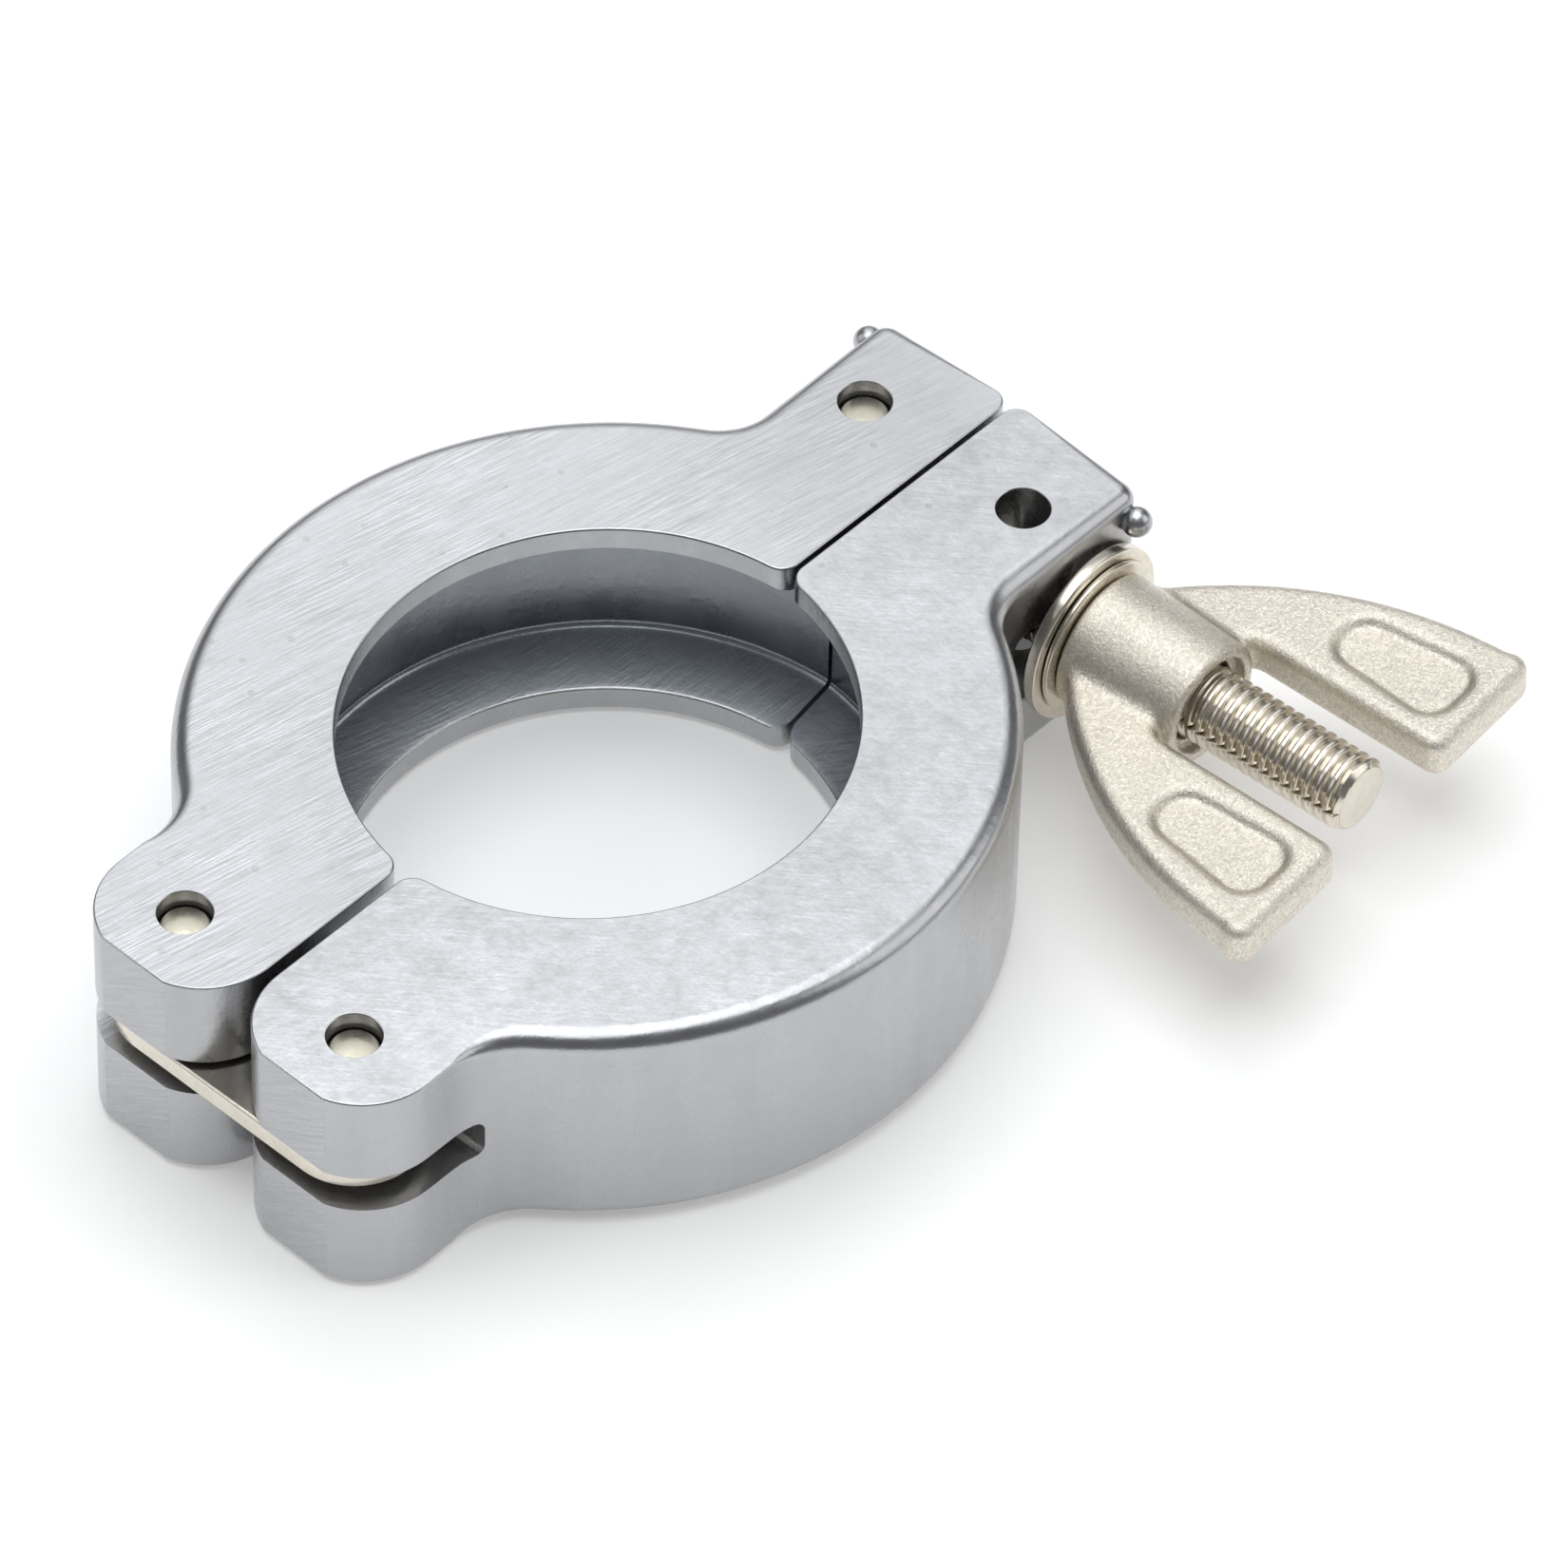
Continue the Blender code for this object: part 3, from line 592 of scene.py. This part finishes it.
def nut_distance(sizes, x, y, z):
    """Signed distance to the wing nut's surface, x across the wings, y from the base to the tips: a tapered
    hub softly joined to two rounded plates, less the pockets, the bore and its mouth."""
    radius = np.hypot(x, z)
    slope = (HUB_BASE - HUB_END) / HUB_LENGTH
    wall = (radius - HUB_BASE + slope * y) + HUB_ROUND
    ends = np.abs(y - HUB_LENGTH / 2) - HUB_LENGTH / 2 + HUB_ROUND
    hub = np.minimum(np.maximum(wall, ends), 0) + np.hypot(np.maximum(wall, 0), np.maximum(ends, 0))
    hub -= HUB_ROUND
    flat = polygon_distance(np.abs(x), y, wing_outline(sizes, WING_CORNER)) - (WING_CORNER - WING_ROUND)
    sides = np.abs(z) - (sizes.wing_thickness / 2 - WING_ROUND)
    wings = np.minimum(np.maximum(flat, sides), 0) + np.hypot(np.maximum(flat, 0), np.maximum(sides, 0))
    wings -= WING_ROUND
    nut = soft_least(hub, wings, WELD)
    pocket = polygon_distance(np.abs(x), y, pocket_outline(sizes)) - POCKET_CORNER
    floor = sizes.wing_thickness / 2 - POCKET_DEPTH
    rise = POCKET_DEPTH * np.maximum(0.5 + pocket / POCKET_SLOPE, 0)
    nut = -soft_least(-nut, POCKET_STEEPNESS * (floor + rise - np.abs(z)), POCKET_BLEND)
    mouth = np.maximum(radius - MOUTH_RADIUS, HUB_LENGTH - MOUTH_DEPTH - y)
    bore = np.minimum(radius - NUT_HOLE, mouth)
    return np.maximum(nut, -bore)


def field_surface(name, field, low, high, cell):
    """The zero surface of a distance field. Each lattice cell that the surface crosses gets one point, the
    mean of the crossings on the cell's edges, and each crossed lattice edge gets the quad of the four cells
    round it. The points are then drawn onto the surface along the field's slope."""
    size = np.ceil((np.array(high) - low) / cell).astype(int) + 1
    axes = [low[i] + cell * np.arange(size[i]) for i in range(3)]
    value = field(*np.meshgrid(*axes, indexing="ij"))
    inside = value < 0
    total = np.zeros(tuple(size - 1) + (3,))
    count = np.zeros(tuple(size - 1))
    edges = []
    for axis in range(3):
        first = [slice(None)] * 3
        second = [slice(None)] * 3
        first[axis], second[axis] = slice(0, -1), slice(1, None)
        a, b = value[tuple(first)], value[tuple(second)]
        crossed = inside[tuple(first)] != inside[tuple(second)]
        index = np.argwhere(crossed)
        share = (a / np.where(crossed, a - b, 1))[crossed]
        point = index.astype(float)
        point[:, axis] += share
        one, two = [i for i in range(3) if i != axis]
        ring = []
        for du, dv in ((0, 0), (-1, 0), (-1, -1), (0, -1)):
            owner = index.copy()
            owner[:, one] += du
            owner[:, two] += dv
            ring.append(owner)
            np.add.at(total, tuple(owner.T), point)
            np.add.at(count, tuple(owner.T), 1)
        edges.append((ring, a[crossed] < 0, axis))
    used = count > 0
    number = np.cumsum(used.ravel()).reshape(used.shape) - 1
    points = (total[used] / count[used][:, None]) * cell + low
    quads = []
    for ring, leaving, axis in edges:
        quad = np.stack([number[tuple(owner.T)] for owner in ring], axis=1)
        turn = leaving ^ (axis == 1)
        quads.append(np.where(turn[:, None], quad, quad[:, ::-1]))
    step = cell * 0.2
    for _ in range(3):
        slope = np.stack([field(*(points + step * unit).T) - field(*(points - step * unit).T)
                          for unit in np.eye(3)], axis=1) / (2 * step)
        size_of = np.maximum((slope**2).sum(axis=1), 0.2)
        move = slope * (field(*points.T) / size_of)[:, None]
        points -= np.clip(move, -cell / 2, cell / 2)
    return points, np.concatenate(quads).tolist()


def make_wing_nut(settings, metal):
    """The wing nut, worked out about its own axis and then laid on the bolt's line, tilted a little."""
    sizes = settings.fastener
    margin = 2 * CELL
    reach = sizes.wing_span / 2 + margin
    low = np.array([-reach, -margin, -HUB_BASE - margin])
    high = np.array([reach, sizes.wing_length + margin, HUB_BASE + margin])
    points, faces = field_surface("wing_nut", lambda x, y, z: nut_distance(sizes, x, y, z), low, high, CELL)
    level = np.array([0, 0, 1.0])
    across = np.cross(level, BOLT_LINE)
    wing_axis = math.cos(WING_TILT) * across + math.sin(WING_TILT) * level * np.sign(across[0])
    face_axis = np.cross(wing_axis, BOLT_LINE)
    base = BOLT_PIN + (along_bolt("thin_washer") + NUT_BASE) * BOLT_LINE
    world = base + points @ np.stack([wing_axis, BOLT_LINE, face_axis])
    nut = mesh_object("cast_wing_nut", world, faces, 1e-7)
    shade(nut, metal, 60)
    nut.modifiers.clear()
    settle(nut, "wing_nut", "blasted_nickel", "wing_nut")


# ---------------------------------------------------------------------------------------------- materials

GRIND_SLANT = math.radians(35)


class Nodes:
    """A short way to build a node tree: each call adds a node and links its inputs."""

    def __init__(self, tree):
        self.tree = tree

    def add(self, kind, inputs=None, **settings):
        node = self.tree.nodes.new(kind)
        for key, value in settings.items():
            setattr(node, key, value)
        for key, value in (inputs or {}).items():
            if isinstance(value, bpy.types.NodeSocket):
                self.tree.links.new(value, node.inputs[key])
            else:
                node.inputs[key].default_value = value
        return node

    def noise(self, vector, scale, detail=3.0, roughness=0.5, distortion=0.0):
        inputs = {"Vector": vector, "Scale": scale, "Detail": detail, "Roughness": roughness,
                  "Distortion": distortion}
        return self.add("ShaderNodeTexNoise", inputs).outputs["Fac"]

    def ramp(self, value, low, high, to_low=0.0, to_high=1.0):
        inputs = {"Value": value, "From Min": low, "From Max": high, "To Min": to_low, "To Max": to_high}
        return self.add("ShaderNodeMapRange", inputs, clamp=True).outputs["Result"]

    def math(self, operation, a, b=0.0, clamp=False):
        return self.add("ShaderNodeMath", {0: a, 1: b}, operation=operation, use_clamp=clamp).outputs[0]

    def blended(self, first, second, share):
        """A share of the first value and the rest of the second."""
        return self.math("ADD", self.math("MULTIPLY", first, share), self.math("MULTIPLY", second, 1 - share))

    def stretched(self, vector, scale):
        return self.add("ShaderNodeMapping", {"Vector": vector, "Scale": scale}).outputs["Vector"]

    def mixed(self, factor, low, high):
        """From low to high as the factor runs from 0 to 1, all of them values."""
        node = self.add("ShaderNodeMix", {0: factor, 2: low, 3: high}, data_type="FLOAT")
        return node.outputs[0]


def new_group(name, inputs, outputs):
    """An empty shader node group with named value inputs and outputs."""
    group = bpy.data.node_groups.new(name, "ShaderNodeTree")
    group.interface.new_socket("Vector", in_out="INPUT", socket_type="NodeSocketVector")
    for label, default in inputs:
        socket = group.interface.new_socket(label, in_out="INPUT", socket_type="NodeSocketFloat")
        socket.default_value = default
    for label in outputs:
        group.interface.new_socket(label, in_out="OUTPUT", socket_type="NodeSocketFloat")
    build = Nodes(group)
    return group, build, build.add("NodeGroupInput"), build.add("NodeGroupOutput")


def streak_group():
    """Brushed streaks: noise drawn out along one direction of the flat faces, at two widths."""
    group, build, given, result = new_group("Brushed streaks", [("Angle", 0.0), ("Width", 1.0)], ["Streaks"])
    turn = build.add("ShaderNodeCombineXYZ", {"Z": given.outputs["Angle"]})
    vector = build.add("ShaderNodeMapping", {"Vector": given.outputs["Vector"],
                                             "Rotation": turn.outputs["Vector"]}).outputs["Vector"]
    fine = build.noise(build.stretched(vector, (400, 5200, 400)), 1.0, 2.0, 0.55)
    broad = build.noise(build.stretched(vector, (170, 1700, 170)), 1.0, 2.0, 0.5)
    patch = build.noise(given.outputs["Vector"], 170.0, 2.0)
    mixed = build.blended(fine, broad, 0.6)
    strength = build.ramp(patch, 0.35, 0.65, 0.35, 1.0)
    centred = build.math("SUBTRACT", mixed, 0.5)
    streaks = build.math("ADD", build.math("MULTIPLY", centred, strength), 0.5)
    build.tree.links.new(streaks, result.inputs["Streaks"])
    return group


def speck_group():
    """Small specks: the middles of some cells of a Voronoi pattern, kept where a coarse noise is high."""
    group, build, given, result = new_group("Small specks", [("Scale", 900.0), ("Size", 0.14)], ["Specks"])
    cell = build.add("ShaderNodeTexVoronoi", {"Vector": given.outputs["Vector"],
                                              "Scale": given.outputs["Scale"]})
    near = build.math("LESS_THAN", cell.outputs["Distance"], given.outputs["Size"])
    keep = build.add("ShaderNodeSeparateColor", {"Color": cell.outputs["Color"]}).outputs["Red"]
    some = build.math("GREATER_THAN", keep, 0.72)
    build.tree.links.new(build.math("MULTIPLY", near, some), result.inputs["Specks"])
    return group


def use_group(build, group, vector, **values):
    """A group placed in a material, with its own values; gives back its first output."""
    node = build.add("ShaderNodeGroup", node_tree=group)
    build.tree.links.new(vector, node.inputs["Vector"])
    for key, value in values.items():
        node.inputs[key].default_value = value
    return node.outputs[0]


def new_metal(name):
    """A material with its node builder, its shader and its object coordinates."""
    material = bpy.data.materials.new(name)
    material.use_nodes = True
    build = Nodes(material.node_tree)
    shader = material.node_tree.nodes["Principled BSDF"]
    shader.inputs["Metallic"].default_value = 1.0
    place = build.add("ShaderNodeTexCoord").outputs["Object"]
    return material, build, shader, place


def finish_metal(build, shader, colour, roughness, height, strength, depth):
    """Links a metal's colour and roughness to its shader, and the bump of its height."""
    bump = build.add("ShaderNodeBump", {"Strength": strength, "Distance": depth, "Height": height})
    for key, value in (("Base Color", colour), ("Roughness", roughness), ("Normal", bump.outputs["Normal"])):
        build.tree.links.new(value, shader.inputs[key])


def tint(build, colour, factor, dark, light):
    """The colour scaled by a value that runs from dark to light as the factor runs from 0 to 1."""
    amount = build.ramp(factor, 0.0, 1.0, dark, light)
    grey = build.add("ShaderNodeCombineColor", {"Red": amount, "Green": amount, "Blue": amount})
    mix = build.add("ShaderNodeMix", data_type="RGBA", blend_type="MULTIPLY")
    mix.inputs[0].default_value = 1.0
    mix.inputs[6].default_value = (*colour, 1.0)
    build.tree.links.new(grey.outputs["Color"], mix.inputs[7])
    return mix.outputs[2]


def groove_shade_group():
    """Where a casting gets its painted shade: 1 in the groove, told by the distance from the bore's axis and
    from the middle plane, 0 elsewhere."""
    sizes = [("Inner radius", 0.016), ("Outer radius", 0.02), ("Half width", 0.006), ("Blur", 0.0004)]
    group, build, given, result = new_group("Raw skin", sizes, ["Skin"])
    spot = build.add("ShaderNodeSeparateXYZ", {"Vector": given.outputs["Vector"]}).outputs
    squares = [build.math("MULTIPLY", spot[axis], spot[axis]) for axis in "XY"]
    radius = build.math("SQRT", build.math("ADD", *squares))
    blur = given.outputs["Blur"]
    past = [build.math("DIVIDE", build.math("SUBTRACT", radius, given.outputs[label]), blur, clamp=True)
            for label in ("Inner radius", "Outer radius")]
    above = build.math("SUBTRACT", build.math("ABSOLUTE", spot["Z"]), given.outputs["Half width"])
    within = build.math("SUBTRACT", 1.0, build.math("DIVIDE", above, blur, clamp=True))
    groove_shade = build.math("MULTIPLY", build.math("SUBTRACT", *past), within)
    build.tree.links.new(groove_shade, result.inputs["Skin"])
    return group


def cast_metal(settings, name, side, angle, streaking, groups):
    """Cast and linished aluminium. The flat faces have brushed streaks and clouds. The walls have soft bands
    and painted shade that makes them darker than the flat faces. The ground lug end has slanting lines and
    the groove is darkened by painted shade; pits lie all over."""
    jaw = settings.jaw
    streaks_in, specks_in, groove_shade_in = groups
    material, build, shader, place = new_metal(name)
    normal = build.add("ShaderNodeNewGeometry").outputs["Normal"]
    level = build.math("ABSOLUTE", build.add("ShaderNodeSeparateXYZ", {"Vector": normal}).outputs["Z"])
    flat = build.ramp(level, 0.9, 0.99)
    streaks = use_group(build, streaks_in, place, Angle=angle)
    clouds = build.noise(place, 380.0, 5.0, 0.65, 0.4)
    blotches = build.noise(place, 1500.0, 3.0, 0.65)
    broad = build.noise(place, 55.0, 1.0, 0.4)
    bands = build.noise(build.stretched(place, (420, 420, 60)), 1.0, 3.0, 0.6)
    pits = use_group(build, specks_in, place, Scale=620.0, Size=0.13)
    cloudy = build.blended(clouds, blotches, 0.55)
    on_flat = build.mixed(streaking, cloudy, streaks)
    on_wall = build.mixed(0.5, bands, cloudy)
    slant = build.add("ShaderNodeMapping", {"Vector": place, "Rotation": (GRIND_SLANT, 0, 0)})
    lines = build.noise(build.stretched(slant.outputs["Vector"], (300, 300, 4200)), 1.0, 2.0, 0.6)
    across = build.add("ShaderNodeSeparateXYZ", {"Vector": place}).outputs["X"]
    lug_end = bore_centre(jaw)[0] - jaw.hinge_reach - LUG_PAST_PIN
    ground = build.math("LESS_THAN", across, lug_end + 0.05 * MM)
    pattern = build.mixed(ground, build.mixed(flat, on_wall, on_flat), lines)
    spread = build.ramp(pattern, 0.36, 0.64)
    pitted = build.math("SUBTRACT", spread, build.math("MULTIPLY", pits, 0.5), clamp=True)
    toned = build.mixed(0.35, pitted, build.ramp(broad, 0.3, 0.7))
    # Painted shade: on the walls the tone is scaled down to a fifth, which paints them darker than the flat
    # faces.
    tone_and_wall_shade = build.math("MULTIPLY", toned, build.mixed(flat, 0.2, 1.0))
    bright = tint(build, settings.metal.cast, tone_and_wall_shade, 0.79, 1.19)
    # Painted shade in the groove: there the colour turns to the groove's painted shade colour.
    centre = bore_centre(jaw) - (0, side * jaw.bore_offset, 0)
    about_bore = build.add("ShaderNodeMapping", {"Vector": place, "Location": tuple(-centre)})
    radii = {"Inner radius": jaw.bore_radius, "Outer radius": jaw.groove_radius}
    groove_shade = use_group(build, groove_shade_in, about_bore.outputs["Vector"], **radii)
    colour = build.add("ShaderNodeMix", data_type="RGBA")
    build.tree.links.new(groove_shade, colour.inputs[0])
    build.tree.links.new(bright, colour.inputs[6])
    colour.inputs[7].default_value = (*settings.metal.painted_groove_shade, 1.0)
    satin = build.math("MULTIPLY", build.ramp(spread, 0.0, 1.0, 0.46, 0.31), build.mixed(flat, 0.75, 1.0))
    height = build.math("SUBTRACT", pattern, build.math("MULTIPLY", pits, 0.25))
    finish_metal(build, shader, colour.outputs[2], satin, height, 0.8, 0.08 * MM)
    return material


def plated_metal(colour, name, roughness):
    """Bright nickel over drawn steel: faint clouds in its gloss and a slight unevenness."""
    material, build, shader, place = new_metal(name)
    clouds = build.noise(place, 500.0, 4.0, 0.6)
    fine = build.noise(place, 2600.0, 2.0, 0.6)
    mixed = build.blended(clouds, fine, 0.6)
    spread = build.ramp(mixed, 0.35, 0.65)
    gloss = build.ramp(spread, 0.0, 1.0, roughness * 1.35, roughness * 0.8)
    finish_metal(build, shader, tint(build, colour, spread, 0.92, 1.06), gloss, mixed, 0.35, 0.03 * MM)
    return material


def blasted_metal(colour, name):
    """Nickel over a blasted casting: a dense fine grain in its height, its gloss and its colour."""
    material, build, shader, place = new_metal(name)
    grain = build.noise(place, 7500.0, 3.0, 0.75)
    coarse = build.noise(place, 3600.0, 2.0, 0.5)
    clouds = build.noise(place, 300.0, 3.0, 0.5)
    mixed = build.blended(grain, coarse, 0.7)
    spread = build.ramp(mixed, 0.4, 0.6)
    toned = build.blended(spread, clouds, 0.7)
    gloss = build.ramp(spread, 0.0, 1.0, 0.4, 0.22)
    finish_metal(build, shader, tint(build, colour, toned, 0.72, 1.24), gloss, mixed, 1.0, 0.08 * MM)
    return material


# -------------------------------------------------------------------------------------------------- stage

AZIMUTH = math.radians(-48.32)
ELEVATION = math.radians(47.592)
ROLL = math.radians(1.629)
DISTANCE = 0.7214
SHIFT = (0.01101, 0.00116)  # how far the camera stands to its own right and up of the aim's line
LENS = 281.2
AIM_DROP = 0.00723  # the aim lies this far under the jaws' upper faces
GROUND = -0.0004
FLOOR_RADIUS = 3.0
FLOOR_GLOW = 0.22
SKY_GLOW = 0.17
COOL, WHITE = (0.97, 0.985, 1.0), (1.0, 1.0, 1.0)
LIGHTS = (  # name, direction that it stands in, distance and side in metres, watts, colour
    ("overhead", (0.0, 0.05, 1.0), 1.0, 0.95, 6.6, COOL),
    ("back", (0.55, 0.5, 0.74), 1.1, 1.0, 2.7, COOL),
    ("left", (-0.665, 0.747, 0.6), 1.2, 0.9, 2.0, WHITE),
    ("right", (0.665, -0.747, 0.6), 1.2, 0.9, 3.0, WHITE),
)


def camera_axes():
    """The camera's right, up and back directions, from its azimuth, elevation and roll."""
    back = np.array([math.sin(AZIMUTH) * math.cos(ELEVATION), -math.cos(AZIMUTH) * math.cos(ELEVATION),
                     math.sin(ELEVATION)])
    right = np.array([math.cos(AZIMUTH), math.sin(AZIMUTH), 0.0])
    up = np.cross(back, right)
    return (right * math.cos(ROLL) + up * math.sin(ROLL), up * math.cos(ROLL) - right * math.sin(ROLL), back)


def turn_object(thing, right, up, back):
    """Turns an object so that its own axes point right, up and back."""
    thing.rotation_euler = Matrix(np.stack([right, up, back], axis=1).tolist()).to_euler()


def make_camera(settings):
    """The scene's camera, which looks at the jaws' middle from up and towards -Y."""
    right, up, back = camera_axes()
    aim = bore_centre(settings.jaw)
    aim[2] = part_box("jaw_a")[1][2] - AIM_DROP
    data = bpy.data.cameras.new("camera")
    data.lens = LENS
    data.sensor_width = 36.0
    data.clip_start, data.clip_end = 0.05, 10.0
    camera = bpy.data.objects.new("camera", data)
    camera.location = aim + back * DISTANCE + right * SHIFT[0] + up * SHIFT[1]
    turn_object(camera, right, up, back)
    bpy.context.scene.collection.objects.link(camera)
    bpy.context.scene.camera = camera


def make_light(name, towards, distance, size, power, colour):
    """A square area light that looks at the clamp from the given direction."""
    towards = np.array(towards, float) / np.linalg.norm(towards)
    right = np.cross((0, 0, 1.0), towards)
    right /= np.linalg.norm(right)
    data = bpy.data.lights.new(name, "AREA")
    data.shape = "SQUARE"
    data.size = size
    data.energy = power
    data.color = colour
    light = bpy.data.objects.new(name, data)
    light.location = towards * distance
    turn_object(light, right, np.cross(towards, right), towards)
    bpy.context.scene.collection.objects.link(light)


def make_floor():
    """A wide pale disc under the clamp."""
    angle = np.linspace(0, 2 * np.pi, 64, endpoint=False)
    ring = np.stack([np.cos(angle), np.sin(angle), 0 * angle], axis=1) * FLOOR_RADIUS + (0, 0, GROUND)
    mesh = bpy.data.meshes.new("floor")
    mesh.from_pydata(ring.tolist(), [], [list(range(64))])
    floor = bpy.data.objects.new("floor", mesh)
    bpy.context.scene.collection.objects.link(floor)
    pale = bpy.data.materials.new("pale_floor")
    pale.use_nodes = True
    shader = pale.node_tree.nodes["Principled BSDF"]
    shader.inputs["Base Color"].default_value = (0.95, 0.95, 0.95, 1)
    shader.inputs["Roughness"].default_value = 0.9
    shader.inputs["Emission Color"].default_value = (1.0, 1.0, 0.99, 1)
    shader.inputs["Emission Strength"].default_value = FLOOR_GLOW
    mesh.materials.append(pale)


def make_studio():
    """A dim even sky with four soft lights, shown without any film curve."""
    world = bpy.data.worlds.new("studio")
    world.use_nodes = True
    sky = world.node_tree.nodes["Background"]
    sky.inputs["Color"].default_value = (0.98, 0.99, 1.0, 1)
    sky.inputs["Strength"].default_value = SKY_GLOW
    bpy.context.scene.world = world
    for light in LIGHTS:
        make_light(*light)
    bpy.context.scene.view_settings.view_transform = "Standard"


# ---------------------------------------------------------------------------------------------- operators


class ClampSettings(bpy.types.PropertyGroup):
    """All the settings of the clamp."""

    jaw: PointerProperty(type=JawSettings, name="Jaws")
    fastener: PointerProperty(type=FastenerSettings, name="Bolt and nut")
    metal: PointerProperty(type=MetalSettings, name="Metals")


def metals(settings):
    """The clamp's materials by name, made once."""
    if "cast_a" in bpy.data.materials:
        return {name: bpy.data.materials[name] for name in ("cast_a", "cast_b", "plated", "pin", "blasted")}
    groups = streak_group(), speck_group(), groove_shade_group()
    colours = settings.metal
    return {
        "cast_a": cast_metal(settings, "cast_a", 1, 0.2, 0.75, groups),
        "cast_b": cast_metal(settings, "cast_b", -1, 0.9, 0.25, groups),
        "plated": plated_metal(colours.plated, "plated", 0.2),
        "pin": plated_metal(colours.pin, "pin", 0.3),
        "blasted": blasted_metal(colours.blasted, "blasted"),
    }


class CLAMP_OT_jaws(bpy.types.Operator):
    """Build both castings"""

    bl_idname = "clamp.jaws"
    bl_label = "Jaws"

    def execute(self, context):
        settings = context.scene.clamp
        make_jaw(settings, 1, "jaw_a", HINGE_A, metals(settings)["cast_a"])
        make_jaw(settings, -1, "jaw_b", HINGE_B, metals(settings)["cast_b"])
        return {"FINISHED"}


class CLAMP_OT_hinge(bpy.types.Operator):
    """Build the link plate and the three pins"""

    bl_idname = "clamp.hinge"
    bl_label = "Link and pins"

    def execute(self, context):
        metal = metals(context.scene.clamp)
        make_link(metal["plated"])
        make_pin("hinge_pin_a", "jaw_a", HINGE_A, metal["pin"])
        make_pin("hinge_pin_b", "jaw_b", HINGE_B, metal["pin"])
        make_pin("bolt_pin", "jaw_a", BOLT_PIN, metal["pin"])
        return {"FINISHED"}


class CLAMP_OT_bolt(bpy.types.Operator):
    """Build the eye bolt and its washers"""

    bl_idname = "clamp.bolt"
    bl_label = "Bolt and washers"

    def execute(self, context):
        settings = context.scene.clamp
        sizes, metal = settings.fastener, metals(settings)["plated"]
        make_bolt(settings, metal)
        hole = sizes.bolt_radius + WASHER_PLAY
        make_washer("thrust_washer", sizes.thrust_radius, THRUST_THICKNESS, hole, THRUST_EDGE, metal)
        make_washer("thin_washer", sizes.thin_radius, THIN_THICKNESS, hole, THIN_EDGE, metal)
        return {"FINISHED"}


class CLAMP_OT_wing_nut(bpy.types.Operator):
    """Build the cast wing nut"""

    bl_idname = "clamp.wing_nut"
    bl_label = "Wing nut"

    def execute(self, context):
        settings = context.scene.clamp
        make_wing_nut(settings, metals(settings)["blasted"])
        return {"FINISHED"}


class CLAMP_OT_studio(bpy.types.Operator):
    """Set up the floor, the lights and the camera"""

    bl_idname = "clamp.studio"
    bl_label = "Studio"

    def execute(self, context):
        make_floor()
        make_studio()
        make_camera(context.scene.clamp)
        return {"FINISHED"}


class CLAMP_PT_panel(bpy.types.Panel):
    """The clamp's settings and steps"""

    bl_label = "Hinged Flange Clamp"
    bl_idname = "CLAMP_PT_panel"
    bl_space_type = "VIEW_3D"
    bl_region_type = "UI"
    bl_category = "Clamp"

    def draw(self, context):
        settings = context.scene.clamp
        for part in (settings.jaw, settings.fastener, settings.metal):
            box = self.layout.box()
            for name in part.bl_rna.properties.keys():
                if name not in ("rna_type", "name"):
                    box.prop(part, name)
        for step in STEPS:
            self.layout.operator(step.bl_idname)


STEPS = (CLAMP_OT_jaws, CLAMP_OT_hinge, CLAMP_OT_bolt, CLAMP_OT_wing_nut, CLAMP_OT_studio)
CLASSES = (JawSettings, FastenerSettings, MetalSettings, ClampSettings, *STEPS, CLAMP_PT_panel)


def register():
    for cls in CLASSES:
        bpy.utils.register_class(cls)
    bpy.types.Scene.clamp = PointerProperty(type=ClampSettings)


def unregister():
    del bpy.types.Scene.clamp
    for cls in reversed(CLASSES):
        bpy.utils.unregister_class(cls)


def main():
    """Build every piece in order."""
    register()
    bpy.ops.clamp.jaws()
    bpy.ops.clamp.hinge()
    bpy.ops.clamp.bolt()
    bpy.ops.clamp.wing_nut()
    bpy.ops.clamp.studio()


if __name__ == "__main__":
    main()
